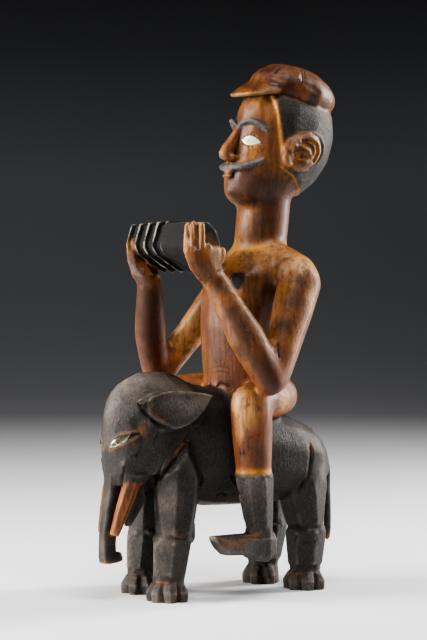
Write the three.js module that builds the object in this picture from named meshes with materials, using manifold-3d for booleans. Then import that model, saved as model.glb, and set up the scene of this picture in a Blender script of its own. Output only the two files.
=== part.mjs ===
// A carved wooden rider playing a squeezebox, seated astride an elephant: one block of wood with four inlaid eyes.
// Millimetres, +Z up. The elephant and the rider face -Y, their left side is +X, and the feet stand on Z = 0.
import * as THREE from "three";
import { mergeVertices } from "three/addons/utils/BufferGeometryUtils.js";
import Module from "manifold-3d";

const wasm = await Module();
wasm.setup();

// Elephant: barrel and head
const bellyZ = 106;
const withersZ = 257;
const rumpZ = 216;
const rumpY = 147;
const barrelHalfWidth = 65;
const crownZ = 272;
const browY = -164;
const trunkTipZ = 45;
const earTilt = 0.2;

// Elephant: legs, each with the places of its top, knee and foot, its half width at the top, its half width at the
// shin, and how far the upper leg swells forward and back
const footRadius = 21;
const footHeight = 27;
const toeRadius = 9.2;
const toesPerFoot = 5;
const toeSpread = THREE.MathUtils.degToRad(48);
const kneeZ = 76;
const legs = [
  { side: 1, top: [36, -82], knee: [38, -89], foot: [38, -94.5], thick: 26, shin: 24.5, swell: [0, 4] },
  { side: -1, top: [-36, -74], knee: [-38, -80], foot: [-38, -86], thick: 26, shin: 24, swell: [0, 3] },
  { side: 1, top: [40, 104], knee: [38, 105], foot: [37, 104], thick: 26, shin: 24.5, swell: [8, -1] },
  { side: -1, top: [-40, 97], knee: [-38, 97], foot: [-37, 90], thick: 26, shin: 24.5, swell: [8, -1] },
];

// Rider: the arms' joints, with the upper arm's bulk, the forearm's outward bow and the half widths of the wrist and
// the forearm, and the joints of the left leg, which the right leg mirrors
const arms = [
  { side: 1, shoulder: [78, 69, 385], elbow: [119, 2, 260], wrist: [67, -50, 388], bulk: 1, bow: 2, wristHalf: 15, fore: 22 },
  { side: -1, shoulder: [-78, 69, 382], elbow: [-119, -16, 261], wrist: [-70, -57, 384], bulk: 0.86, bow: 5, wristHalf: 15, fore: 20.5 },
];
const hip = [44, 58, 242];
const knee = [88, -9, 240];
const bootTop = [88, -5, 152];
const ankle = [88, 3, 80];
const rightLegForward = 7;
const neckRadius = 33.5;
const neckBottom = [0, 61, 426];
const neckTop = [0, 66, 471];

// Rider's head: its own frame has the origin between the ears, and leans back
const headCentre = [0, 94, 542];
const headTilt = THREE.MathUtils.degToRad(-15);
const headPlace = new THREE.Matrix4().makeRotationX(headTilt).setPosition(...headCentre);
const headHalfWidth = 48;
const faceY = -70;
const occiputY = 58;
const chinZ = -78;
const browZ = 13;
const noseZ = -32;
const mouthZ = -47;
const hairRise = 3;
const visorTilt = 0.35;

// Squeezebox: a section in the YZ plane, carried along X, with thin boards standing out of its right half
const boxLeft = 70;
const boxRight = -90;
const boxTopZ = 456;
const boxFrontY = -80;
const boxBackY = -40;
const boxBottomZ = 394;
const boardCount = 5;
const boardPitch = 21;
const boardThickness = 4;
const boardDepth = 5;

// Eye inlays: each almond starts inside the head at its centre and comes out along its turn from straight ahead
const elephantEyes = { centre: [16.5, -145.5, 193], halfLength: 17, halfHeight: 4.6, depth: 24, turn: 0.55, tilt: 0.48 };
const riderEyes = { centre: [20, -58, -4], halfLength: 13, halfHeight: 6, depth: 30, turn: 0.34, tilt: 0 };
const inlayRise = 0.6;
const inlayGap = 0.4;

const across = new THREE.Vector3(1, 0, 0);
const forward = new THREE.Vector3(0, 1, 0);
const upright = new THREE.Vector3(0, 0, 1);

function mix(a, b, t) {
  return a.map((value, i) => value + (b[i] - value) * t);
}

function onSide([x, y, z], side) {
  return [x * side, y, z];
}

function solidFrom(geometry) {
  const bare = new THREE.BufferGeometry();
  const loose = geometry.index ? geometry.toNonIndexed() : geometry;
  bare.setAttribute("position", loose.getAttribute("position"));
  const merged = mergeVertices(bare, 1e-3);
  const corners = merged.index.array;
  const kept = [];
  for (let i = 0; i < corners.length; i += 3) {
    const [a, b, c] = [corners[i], corners[i + 1], corners[i + 2]];
    if (a !== b && b !== c && c !== a) kept.push(a, b, c);
  }
  return new wasm.Manifold(
    new wasm.Mesh({
      numProp: 3,
      vertProperties: new Float32Array(merged.attributes.position.array),
      triVerts: new Uint32Array(kept),
    }),
  );
}

function geometryFrom(solid) {
  const mesh = solid.getMesh();
  const geometry = new THREE.BufferGeometry();
  geometry.setAttribute("position", new THREE.BufferAttribute(mesh.vertProperties, mesh.numProp));
  geometry.setIndex(new THREE.BufferAttribute(mesh.triVerts, 1));
  geometry.computeVertexNormals();
  return geometry;
}

function joined(solids) {
  return solids.reduce((whole, solid) => whole.add(solid));
}

function cutBy(solid, cutters) {
  return cutters.reduce((rest, cutter) => rest.subtract(cutter), solid);
}

// A cosine or sine bent towards a square: 2 keeps an ellipse, more gives fuller corners.
function squared(value, corner) {
  return Math.sign(value) * Math.pow(Math.abs(value), 2 / corner);
}

// A turned blank of radius 1 from y = 0 to 1, with a flat or a round end below and above.
function blank(sides, rings, domes, domeSteps) {
  const profile = [];
  for (let i = domeSteps; i > 0 && domes[0] > 0; i--) {
    const angle = (i / domeSteps) * (Math.PI / 2);
    profile.push(new THREE.Vector2(i === domeSteps ? 0 : Math.cos(angle), -Math.sin(angle)));
  }
  if (domes[0] === 0) profile.push(new THREE.Vector2(0, 0));
  for (let i = 0; i <= rings; i++) profile.push(new THREE.Vector2(1, i / rings));
  for (let i = 1; i <= domeSteps && domes[1] > 0; i++) {
    const angle = (i / domeSteps) * (Math.PI / 2);
    profile.push(new THREE.Vector2(i === domeSteps ? 0 : Math.cos(angle), 1 + Math.sin(angle)));
  }
  if (domes[1] === 0) profile.push(new THREE.Vector2(0, 1));
  return new THREE.LatheGeometry(profile, sides);
}

// A closed log through stations of [x, y, z, half width, half depth]. Its sections lie square to the path, or
// square to `level` where that is given, with the width along `wide`. `domes` are the lengths of its round ends,
// and `corner` squares the section, with one value for the back half and one for the front where they differ.
function log(stations, options = {}) {
  const { sides = 12, rings = 6, domes = [0, 0], domeSteps = 2, wide = across } = options;
  const { level = null, corner = 2, twist = 0, place = null } = options;
  const geometry = blank(sides, rings, domes, domeSteps);
  const path = new THREE.CatmullRomCurve3(stations.map(([x, y, z]) => new THREE.Vector3(x, y, z)));
  const sizes = new THREE.CatmullRomCurve3(stations.map(([, , , a, b]) => new THREE.Vector3(a, b, 0)));
  sizes.curveType = "catmullrom";
  sizes.tension = 0.35;
  const [cornerBack, cornerFront] = Array.isArray(corner) ? corner : [corner, corner];
  const climbs = !level || path.getPoint(1).sub(path.getPoint(0)).dot(level) > 0;
  const fixedAxis = level && level.clone().multiplyScalar(climbs ? 1 : -1);
  const position = geometry.getAttribute("position");
  const vertex = new THREE.Vector3();
  for (let i = 0; i < position.count; i++) {
    vertex.fromBufferAttribute(position, i);
    const t = THREE.MathUtils.clamp(vertex.y, 0, 1);
    const beyond = vertex.y > 1 ? (vertex.y - 1) * domes[1] : Math.min(vertex.y, 0) * domes[0];
    const radius = Math.hypot(vertex.x, vertex.z);
    const angle = Math.atan2(vertex.z, vertex.x) + twist;
    const fullness = Math.sin(angle) > 0 ? cornerFront : cornerBack;
    const size = sizes.getPoint(t);
    const axis = fixedAxis ?? path.getTangent(t);
    const widthAxis = wide.clone().addScaledVector(axis, -wide.dot(axis)).normalize();
    const depthAxis = widthAxis.clone().cross(axis);
    const point = path.getPoint(t).addScaledVector(axis, beyond);
    point.addScaledVector(widthAxis, radius * size.x * squared(Math.cos(angle), fullness));
    point.addScaledVector(depthAxis, radius * size.y * squared(Math.sin(angle), fullness));
    position.setXYZ(i, point.x, point.y, point.z);
  }
  if (place) geometry.applyMatrix4(place);
  return solidFrom(geometry);
}

// A ball with half sizes [x, y, z], turned by Euler angles and put at a point.
function ball(centre, halves, options = {}) {
  const { turn = [0, 0, 0], detail = [12, 6], place = null } = options;
  const geometry = new THREE.SphereGeometry(1, ...detail);
  geometry.scale(...halves);
  geometry.applyMatrix4(new THREE.Matrix4().makeRotationFromEuler(new THREE.Euler(...turn)));
  geometry.translate(...centre);
  if (place) geometry.applyMatrix4(place);
  return solidFrom(geometry);
}

// A slab whose outline is drawn in the YZ plane and carried along X between two places.
function slab(outline, from, to, place = null) {
  const shape = Array.isArray(outline) ? new THREE.Shape(outline.map((p) => new THREE.Vector2(...p))) : outline;
  const geometry = new THREE.ExtrudeGeometry(shape, { depth: to - from, bevelEnabled: false, curveSegments: 6 });
  geometry.translate(0, 0, from);
  geometry.applyMatrix4(new THREE.Matrix4().makeBasis(forward, upright, across));
  if (place) geometry.applyMatrix4(place);
  return solidFrom(geometry);
}

// A thin round cord along points, tapered to its ends, for the brows and the moustache.
function cord(points, radius, options = {}) {
  const stations = points.map((point, i) => {
    const thin = i === 0 || i === points.length - 1 ? 0.4 : 1;
    return [...point, radius * thin, radius * thin];
  });
  return log(stations, { sides: 6, rings: 4, domes: [radius, radius], domeSteps: 1, wide: upright, ...options });
}

// The elephant's barrel runs from inside the head to the rump.
function barrel() {
  const slice = (y, top, bottom, half) => [0, y, (top + bottom) / 2, half, (top - bottom) / 2];
  return log(
    [
      slice(-108, withersZ + 6, 142, 28),
      slice(-80, withersZ + 5, bellyZ + 18, 35),
      slice(-45, withersZ + 1, bellyZ + 4, 49),
      slice(-10, withersZ - 5, bellyZ, barrelHalfWidth - 1),
      slice(35, withersZ - 24, bellyZ, barrelHalfWidth + 1),
      slice(80, rumpZ + 4, bellyZ, barrelHalfWidth),
      slice(113, rumpZ - 10, bellyZ + 6, barrelHalfWidth - 4),
      slice(135, rumpZ - 33, bellyZ + 14, 45),
    ],
    { sides: 14, rings: 8, domes: [0, rumpY - 135], level: forward, corner: 2.3 },
  );
}

// The head stands proud of the neck, and its rear edge runs slanting down to the mouth.
function elephantHead(grow = 0) {
  const slice = (z, front, back, half) => [0, (front + back) / 2, z, half + grow, (back - front) / 2 + grow];
  return log(
    [
      slice(140, browY + 8, -118, 29),
      slice(152, browY + 6, -104, 36),
      slice(172, browY + 3.5, -84, 43),
      slice(194, browY + 3, -66, 47),
      slice(226, browY + 5, -46, 47.5),
      slice(248, browY + 13, -44, 43.5),
      slice(262, browY + 28, -56, 34),
    ],
    { sides: 16, rings: 8, domes: [3, crownZ - 262], level: upright, corner: [4, 1.8] },
  );
}

// The trunk hangs flat and square, and its tip turns back.
function trunk() {
  const squareSection = { sides: 8, corner: 5, twist: Math.PI / 8 };
  const hang = log(
    [
      [0, -146, 192, 15, 13],
      [0, -146, 172, 14, 13],
      [0, -145, 150, 12, 12.5],
      [0, -149.5, 122, 9.5, 11],
      [0, -155, 95, 8.5, 10],
      [0, -157.5, 72, 8, 9.5],
      [0, -157.5, trunkTipZ + 6, 8.5, 9.5],
    ],
    { ...squareSection, rings: 7, level: upright },
  );
  const tip = log(
    [
      [0, -165, trunkTipZ + 6, 8.5, 6],
      [0, -152, trunkTipZ + 5, 9, 5.5],
      [0, -141, trunkTipZ + 8, 8, 6],
    ],
    { ...squareSection, rings: 3, domes: [0, 3], domeSteps: 1 },
  );
  return [hang, tip];
}

function mouth() {
  const tusks = [-1, 1].map((side) => {
    const [top, tip] = [[24 * side, -136, 146], [14.5 * side, -156.5, 80]];
    return log([[...top, 10, 10.5], [...mix(top, tip, 0.4), 9.5, 10], [...tip, 5.8, 6]], {
      sides: 6,
      rings: 3,
      twist: Math.PI / 6,
    });
  });
  const jaw = log(
    [
      [0, -118, 148, 22, 25],
      [0, -121, 120, 14, 16],
      [0, -129, 88, 3.5, 4],
    ],
    { sides: 8, rings: 4, level: upright, twist: Math.PI / 8 },
  );
  return [...tusks, jaw];
}

// The ear is a leaf that lies back from the temple, its face hollowed to leave a rim.
function elephantEar(side) {
  const shape = new THREE.Shape();
  shape.moveTo(-137, 238);
  shape.bezierCurveTo(-118, 214, -100, 202, -82, 209);
  shape.bezierCurveTo(-66, 213, -52, 230, -44, 247);
  shape.bezierCurveTo(-70, 252, -112, 260, -137, 238);
  const place = new THREE.Matrix4().makeRotationZ(-earTilt).setPosition(60, -1, 0);
  const leaf = slab(shape, -12, 11, place);
  const scoop = ball([59.5, -93, 231], [10.5, 43, 17], { turn: [0.05, 0, -earTilt], detail: [12, 6] });
  const ear = leaf.subtract(scoop);
  return side === 1 ? ear : mirrored(ear);
}

function mirrored(solid) {
  const geometry = geometryFrom(solid).scale(-1, 1, 1);
  const corners = geometry.index.array;
  for (let i = 0; i < corners.length; i += 3) {
    [corners[i + 1], corners[i + 2]] = [corners[i + 2], corners[i + 1]];
  }
  return solidFrom(geometry);
}

// A leg is cut in eight flats, with a waist at the knee, and a ring of toes round the foot.
function elephantLeg({ side, top, knee: bend, foot, thick, shin, swell: [forwards, backwards] }) {
  const swollen = (z, [x, y], halfWidth, halfDepth, share) => {
    const shift = ((backwards - forwards) / 2) * share;
    return [x, y + shift, z, halfWidth, halfDepth + ((forwards + backwards) / 2) * share];
  };
  const post = log(
    [
      [...foot, 0, footRadius, footRadius],
      [...foot, footHeight - 3, footRadius - 2.5, footRadius - 1.5],
      [...mix(foot, bend, 0.6), 54, shin - 1, shin],
      [...bend, kneeZ - 2, shin, shin + 0.5],
      [...bend, kneeZ + 3, shin - 2, shin - 1],
      swollen(106, mix(bend, top, 0.5), shin + 1, shin + 2, 0.8),
      swollen(135, top, thick - 1, thick + 1, 1),
      swollen(160, top, thick - 5, thick - 3, 0.6),
      [...top, 188, thick - 14, thick - 12],
    ],
    { sides: 8, rings: 8, level: upright, twist: Math.PI / 8 },
  );
  const parts = [post];
  for (let i = 0; i < toesPerFoot; i++) {
    const angle = (i - (toesPerFoot - 1) / 2) * toeSpread + side * 0.3;
    const along = (reach) => [foot[0] + reach * Math.sin(angle), foot[1] - reach * Math.cos(angle)];
    const reach = footRadius - 1.5;
    parts.push(
      log(
        [
          [...along(reach), 0, toeRadius - 1, toeRadius - 1],
          [...along(reach), 11, toeRadius, toeRadius],
          [...along(reach - 5), footHeight - 6, toeRadius - 1, toeRadius - 1],
        ],
        { sides: 6, rings: 2, domes: [0, 6], domeSteps: 1, level: upright },
      ),
    );
  }
  return parts;
}

function tail() {
  return log(
    [
      [0, 132, 194, 6, 6],
      [0, 151, 176, 5.5, 5.5],
      [0, 161, 150, 5, 5],
      [0, 163, 110, 4.5, 4.5],
      [0, 163, 72, 5.5, 5.5],
      [0, 163, 55, 3.5, 3.5],
    ],
    { sides: 6, rings: 7, domes: [0, 3], domeSteps: 1 },
  );
}

function torso() {
  const body = log(
    [
      [0, 38, 236, 54, 50],
      [0, 38, 268, 53, 49],
      [0, 33, 310, 51, 49],
      [0, 36, 350, 54, 51],
      [0, 44, 385, 62, 50],
      [0, 57, 410, 56, 40],
    ],
    { sides: 14, rings: 6, domes: [0, 18], level: upright, corner: 2.2 },
  );
  const neck = log(
    [
      [...mix(neckBottom, neckTop, -0.4), neckRadius, neckRadius],
      [...mix(neckBottom, neckTop, 1.5), neckRadius, neckRadius],
    ],
    { sides: 14, rings: 1, level: upright },
  );
  const yoke = log(
    [
      [-76, 68, 389, 26, 26],
      [-42, 63, 402, 26, 30],
      [0, 60, 409, 26, 33],
      [42, 63, 402, 26, 30],
      [76, 68, 389, 26, 26],
    ],
    { sides: 10, rings: 4, domes: [20, 20], wide: upright },
  );
  return [body, neck, yoke, pocket()];
}

// The pocket is a small shield on the left breast.
function pocket() {
  const shape = new THREE.Shape();
  shape.moveTo(-10, 8);
  shape.quadraticCurveTo(0, 12, 11, 8);
  shape.quadraticCurveTo(12, -5, 0, -13);
  shape.quadraticCurveTo(-11, -6, -10, 8);
  const badge = new THREE.ExtrudeGeometry(shape, { depth: 16, bevelEnabled: false, curveSegments: 4 });
  badge.rotateX(Math.PI / 2).rotateZ(0.72).translate(36, 18, 384);
  return solidFrom(badge);
}

function arm({ side, shoulder, elbow, wrist, bulk, bow, wristHalf, fore }) {
  const upper = log(
    [
      [...shoulder, 26.5, 27],
      [...mix(shoulder, elbow, 0.25), 24 * bulk, 27 * bulk],
      [...mix(shoulder, elbow, 0.6), 20 * bulk, 23 * bulk],
      [...mix(shoulder, elbow, 0.95), 16.5, 18.5],
    ],
    { sides: 10, rings: 5, domes: [22, 14] },
  );
  const bowed = (t, outward) => {
    const [x, y, z] = mix(elbow, wrist, t);
    return [x + outward * side, y - outward * 0.4, z];
  };
  const lower = log(
    [
      [...bowed(0, 0), 17, 18],
      [...bowed(0.14, bow / 2), fore - 2, fore - 1],
      [...bowed(0.45, bow), fore, fore + 1],
      [...bowed(0.8, bow / 2), wristHalf + 2, wristHalf + 2.5],
      [...bowed(1, 0), wristHalf, wristHalf + 0.5],
    ],
    { sides: 10, rings: 6, domes: [12, 9] },
  );
  return [upper, lower];
}

// A finger or thumb from its root to its tip.
function digit(root, tip, thick) {
  const stations = [[...root, thick, thick + 0.5], [...mix(root, tip, 0.6), thick, thick], [...tip, thick - 1, thick - 1]];
  return log(stations, { sides: 6, rings: 2, domes: [4, 4], domeSteps: 1 });
}

// The left hand closes round the end of the squeezebox: four fingers over the front corner, the thumb behind.
function leftHand([x, y, z]) {
  const palm = log(
    [
      [x, y, z - 2, 14, 14.5],
      [x + 6, y - 12, z + 13, 13.5, 20],
      [x + 8, y - 18, z + 27, 11.5, 26.5],
      [x + 8, y - 18.5, z + 36, 8.5, 26],
    ],
    { sides: 8, rings: 4, domes: [3, 4], domeSteps: 1 },
  );
  const fingers = [
    [10, 14, -24],
    [9, 5.5, 0],
    [2.5, -1.5, 1.5],
    [-7, -4, -0.5],
  ].map(([left, back, lift]) => {
    const [fx, fy] = [boxLeft + left, boxFrontY + back];
    return digit([fx + 1, fy, boxTopZ - 38], [fx - 1, fy + 2, boxTopZ - 4 + lift], 5);
  });
  const thumb = digit([x + 9, boxBackY - 7, z + 18], [boxLeft + 6, boxBackY - 2, boxTopZ - 34], 6);
  return [palm, ...fingers, thumb];
}

// The right hand lies flat against the far end, its fingers up and its thumb behind.
function rightHand([x, y, z]) {
  const palm = log(
    [
      [x, y, z - 2, 14.5, 15],
      [x - 12, y - 4, z + 14, 13, 18],
      [x - 18, y - 3, z + 30, 9, 20],
      [x - 20, y - 2, z + 42, 7, 19],
    ],
    { sides: 8, rings: 4, domes: [3, 4], domeSteps: 1 },
  );
  const fingers = [0, 1, 2, 3].map((i) => {
    const fy = boxFrontY + 12 + i * 9;
    return digit([boxRight - 4, fy, boxTopZ - 34], [boxRight - 3, fy, boxTopZ - 8 - Math.abs(i - 1.4) * 2], 4.8);
  });
  const thumb = digit([x - 8, boxBackY - 2, z + 22], [boxRight + 8, boxBackY + 3, boxTopZ - 18], 6);
  return [palm, ...fingers, thumb];
}

function squeezebox() {
  const outline = (inset, low = 0) => [
    [boxFrontY + 8 + inset, boxTopZ - inset - low],
    [boxFrontY + inset, boxTopZ - 28],
    [boxFrontY + 1 + inset, boxTopZ - 34],
    [boxFrontY + 6 + inset, boxTopZ - 41],
    [boxFrontY + 24 + inset * 0.7, boxBottomZ + 9 + inset * 0.7 - low * 0.6],
    [boxBackY + 3, boxBottomZ - 1 + inset * 0.5 - low * 0.6],
    [boxBackY + 6, boxBottomZ + 5],
    [boxBackY - inset, boxBottomZ + 13],
    [boxBackY - inset, boxTopZ - low - 26],
    [boxBackY - inset - 5, boxTopZ - low - 12],
    [boxBackY - inset - 16, boxTopZ - inset - low],
  ];
  const blockStart = boxRight + (boardCount - 1) * boardPitch;
  const parts = [
    slab(outline(boardDepth), boxRight + 1, boxLeft - 1),
    slab(outline(1.2), blockStart + 1, boxLeft),
  ];
  for (let i = 0; i < boardCount; i++) {
    const x = boxRight + i * boardPitch;
    parts.push(slab(outline(0, boardCount - 1 - i), x, x + boardThickness));
  }
  return parts;
}

function leg(side) {
  const shift = side === 1 ? 0 : -rightLegForward;
  const here = ([x, y, z]) => [x * side, y + shift, z];
  const [hipHere, kneeHere, bootHere, ankleHere] = [onSide(hip, side), here(knee), here(bootTop), here(ankle)];
  const thigh = log(
    [
      [...hipHere, 27, 27],
      [...mix(hipHere, kneeHere, 0.5), 26, 26],
      [...kneeHere, 22, 23],
    ],
    { sides: 12, rings: 4, domes: [24, 16], wide: upright },
  );
  const shin = log(
    [
      [...mix(bootHere, kneeHere, -0.05), 20.5, 21.5],
      [...mix(bootHere, kneeHere, 0.5), 23, 25.5],
      [...mix(bootHere, kneeHere, 0.86), 23, 27],
      [...mix(bootHere, kneeHere, 1.02), 22.5, 25.5],
    ],
    { sides: 12, rings: 5, domes: [0, 19], domeSteps: 3, level: upright },
  );
  const boot = log(
    [
      [...mix(ankleHere, bootHere, -0.25), 15, 16],
      [...ankleHere, 16.5, 17],
      [...mix(ankleHere, bootHere, 0.4), 19, 20],
      [...bootHere, 24, 24.5],
    ],
    { sides: 8, rings: 4, level: upright, twist: Math.PI / 8 },
  );
  return [thigh, shin, boot, shoe(ankleHere)];
}

// The shoe has a flat top, a blunt lifted toe and a deep heel.
function shoe([x, y, z]) {
  const top = z + 1;
  const slice = (along, low, half) => [x, y + along, (top + low) / 2, half, (top - low) / 2];
  return log(
    [
      slice(-67, top - 6, 8.5),
      slice(-60, top - 17, 11.5),
      slice(-51, top - 24.5, 13.5),
      slice(-36, top - 25, 15),
      slice(-22, top - 26, 16.5),
      slice(-9, top - 34, 17),
      slice(6, top - 36, 17),
      slice(18, top - 31, 12),
    ],
    { sides: 8, rings: 7, corner: 3.4, twist: Math.PI / 8, level: forward },
  );
}

function skull(grow) {
  const slice = (z, front, back, half) => [0, (front + back) / 2, z, half + grow, (back - front) / 2 + grow];
  return log(
    [
      slice(chinZ, faceY + 14, -22, 17),
      slice(chinZ + 10, faceY + 5, 2, 31),
      slice(chinZ + 32, faceY + 1, 30, 41),
      slice(-22, faceY, 48, 46),
      slice(4, faceY, occiputY, headHalfWidth),
      slice(30, faceY, occiputY, headHalfWidth),
      slice(50, faceY + 4, occiputY - 4, 45),
      slice(68, faceY + 16, occiputY - 14, 36),
    ],
    { sides: 14, rings: 8, domes: [3, 8], level: upright, corner: 2.15, place: headPlace },
  );
}

// The hair is a raised skin behind the temples, cut off to an edge at the face and the nape.
function hair() {
  const region = slab([[57, 650], [64, 521], [78, 513], [106, 486], [190, 486], [190, 650]], -70, 70);
  return skull(hairRise).intersect(region);
}

function face() {
  const place = headPlace;
  const nose = log(
    [
      [0, faceY + 2, browZ, 5, 5],
      [0, faceY - 4, browZ - 20, 6, 8],
      [0, faceY - 10, noseZ + 8, 8.5, 10],
      [0, faceY - 7, noseZ + 1, 9, 9],
    ],
    { sides: 8, rings: 4, domes: [3, 2], domeSteps: 1, level: upright, place },
  );
  const parts = [nose];
  for (const side of [-1, 1]) {
    const at = (x, y, z) => [x * side, faceY + y, z];
    parts.push(ball(at(8, -4, noseZ + 4.5), [5, 7, 5], { detail: [6, 4], place }));
    parts.push(cord([at(5, -2, browZ + 2), at(21, 1, browZ + 8), at(38, 18, browZ)], 4, { place }));
    parts.push(
      cord([at(1, -3, noseZ - 6), at(15, -1, noseZ - 8), at(28, 8, noseZ - 3), at(38, 21, noseZ + 7)], 4.2, { place }),
    );
  }
  for (const [z, half] of [[mouthZ + 3, 3], [mouthZ - 3.5, 3.4]]) {
    parts.push(ball([0, faceY, z], [11.5, 5, half], { detail: [8, 4], place }));
  }
  parts.push(ball([0, faceY + 12, chinZ + 13], [15, 10, 10], { detail: [8, 5], place }));
  return parts;
}

// An almond-shaped plug let in along a direction in plan, level or tilted, to be trimmed to the surface round it.
function almond({ centre, halfLength, halfHeight, depth, turn, tilt }, side, grow) {
  const [long, high] = [halfLength + grow, halfHeight + grow];
  const shape = new THREE.Shape();
  shape.moveTo(-long, 0);
  shape.quadraticCurveTo(0, high * 2, long, 0);
  shape.quadraticCurveTo(0, -high * 2, -long, 0);
  const geometry = new THREE.ExtrudeGeometry(shape, { depth: depth + grow, bevelEnabled: false, curveSegments: 6 });
  geometry.rotateZ(side * tilt).rotateX(Math.PI / 2).rotateZ(side * turn);
  geometry.translate(centre[0] * side, centre[1], centre[2]);
  return geometry;
}

function riderEye(side, grow = 0) {
  const plug = almond(riderEyes, side, grow).applyMatrix4(headPlace);
  return solidFrom(plug).intersect(skull(inlayRise + grow));
}

function elephantEye(side, grow = 0) {
  return solidFrom(almond(elephantEyes, side, grow)).intersect(elephantHead(inlayRise + grow));
}

// An ear is an oval rim round a hollow, with a curl inside and a small wedge before it.
function riderEar(side) {
  const lean = [0.3, 0, 0];
  const shell = ball([49 * side, 91, 542], [9, 29, 24], { turn: lean, detail: [10, 6] });
  const bowl = ball([58 * side, 89, 541], [7.5, 21, 16], { turn: lean, detail: [8, 5] });
  const curl = ball([51 * side, 92, 541], [6, 12, 8], { turn: lean, detail: [6, 4] });
  const wedge = ball([51 * side, 66, 531], [6, 6, 11], { turn: lean, detail: [6, 4] });
  return joined([shell.subtract(bowl), curl, wedge]);
}

// The cap has a soft domed crown and a crescent visor that is thick at its root and slopes down over the brow.
function cap() {
  const crown = log(
    [
      [0, -5, 62, 44, 53],
      [0, -5, 69, 48, 58],
      [0, -5, 80, 48, 58],
      [0, -6, 91, 42, 51],
      [0, -8, 101, 29, 36],
    ],
    { sides: 14, rings: 5, domes: [2, 5], level: upright, place: headPlace },
  );
  const visorPlace = new THREE.Matrix4().makeRotationX(visorTilt).setPosition(0, -52, 63).premultiply(headPlace);
  const visor = log(
    [
      [0, 0, -4.5, 38, 33],
      [0, 0, -1, 41, 36],
      [0, 3, 4, 38, 31.5],
      [0, 8, 9, 34, 26],
      [0, 13, 14, 29, 20],
    ],
    { sides: 12, rings: 4, level: upright, place: visorPlace },
  );
  return [crown, visor];
}

function carving() {
  const solids = [
    barrel(),
    elephantHead(),
    ...trunk(),
    ...mouth(),
    ...legs.flatMap(elephantLeg),
    tail(),
    ...torso(),
    ...arms.flatMap(arm),
    ...squeezebox(),
    ...leftHand(arms[0].wrist),
    ...rightHand(arms[1].wrist),
    skull(0),
    hair(),
    ...face(),
    ...cap(),
  ];
  const cutters = [];
  for (const side of [-1, 1]) {
    solids.push(elephantEar(side), ...leg(side), riderEar(side));
    cutters.push(riderEye(side, inlayGap), elephantEye(side, inlayGap));
  }
  return cutBy(joined(solids), cutters);
}

const wood = new THREE.MeshStandardMaterial({ color: 0x6e4426, roughness: 0.45, metalness: 0 });
const paleInlay = new THREE.MeshStandardMaterial({ color: 0xc9ccb4, roughness: 0.35, metalness: 0 });
const glass = new THREE.MeshStandardMaterial({ color: 0x8a8468, roughness: 0.1, metalness: 0 });

const figure = new THREE.Group();

function addPiece(name, solid, material) {
  const mesh = new THREE.Mesh(geometryFrom(solid), material);
  mesh.name = name;
  figure.add(mesh);
}

addPiece("carving", carving(), wood);
for (const [name, side] of [["left", 1], ["right", -1]]) {
  addPiece(`rider_eye_${name}`, riderEye(side), paleInlay);
  addPiece(`elephant_eye_${name}`, elephantEye(side), glass);
}

// The origin goes to the middle of the standing figure's box, on the ground.
const box = new THREE.Box3().setFromObject(figure);
const middle = box.getCenter(new THREE.Vector3());
for (const mesh of figure.children) mesh.geometry.translate(-middle.x, -middle.y, -box.min.z);

export default figure;
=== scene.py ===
import math
import bmesh
import bpy
import numpy as np
from mathutils import Matrix, Vector
from mathutils.bvhtree import BVHTree
from mathutils.kdtree import KDTree


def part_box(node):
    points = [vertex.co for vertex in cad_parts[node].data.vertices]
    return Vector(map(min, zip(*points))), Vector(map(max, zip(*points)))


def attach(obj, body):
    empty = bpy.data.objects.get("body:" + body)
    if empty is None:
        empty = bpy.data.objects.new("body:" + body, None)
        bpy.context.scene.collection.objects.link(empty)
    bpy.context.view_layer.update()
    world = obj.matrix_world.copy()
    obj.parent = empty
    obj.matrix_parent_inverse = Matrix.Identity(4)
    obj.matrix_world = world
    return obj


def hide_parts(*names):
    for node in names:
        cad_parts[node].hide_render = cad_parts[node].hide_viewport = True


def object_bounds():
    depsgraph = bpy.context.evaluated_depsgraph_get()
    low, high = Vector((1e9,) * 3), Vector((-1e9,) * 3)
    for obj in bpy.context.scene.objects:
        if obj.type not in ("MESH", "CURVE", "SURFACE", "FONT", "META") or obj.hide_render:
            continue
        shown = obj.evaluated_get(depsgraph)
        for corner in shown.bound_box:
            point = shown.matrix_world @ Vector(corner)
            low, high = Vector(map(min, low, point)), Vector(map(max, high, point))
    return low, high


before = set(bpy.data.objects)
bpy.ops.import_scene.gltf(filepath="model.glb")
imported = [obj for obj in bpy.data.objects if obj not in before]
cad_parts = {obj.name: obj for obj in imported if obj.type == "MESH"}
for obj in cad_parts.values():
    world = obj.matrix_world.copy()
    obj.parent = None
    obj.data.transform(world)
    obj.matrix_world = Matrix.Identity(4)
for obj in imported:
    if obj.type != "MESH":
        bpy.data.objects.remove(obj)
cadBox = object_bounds()
mm = 0.001
far = 1e6  # past everything, in mm
cadShift = np.array([0.175, -0.73, 0.0])  # from the drawing's middle line to the middle of the box, in mm

# Camera: a long lens at the height of the rider's chest, off the front left
cameraValues = {"place": (2602.5, -1634.0, 445.0), "azimuth": 58.0, "lookDown": 2.062, "lens": 140.6}


def makeCamera(values):
    data = bpy.data.cameras.new("photoCamera")
    data.lens = values["lens"]
    data.sensor_width = 36.0
    data.clip_end = 50.0
    camera = bpy.data.objects.new("photoCamera", data)
    camera.location = Vector(values["place"]) * mm
    camera.rotation_euler = (math.radians(90 - values["lookDown"]), 0, math.radians(values["azimuth"]))
    bpy.context.scene.collection.objects.link(camera)
    bpy.context.scene.camera = camera


makeCamera(cameraValues)

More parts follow.
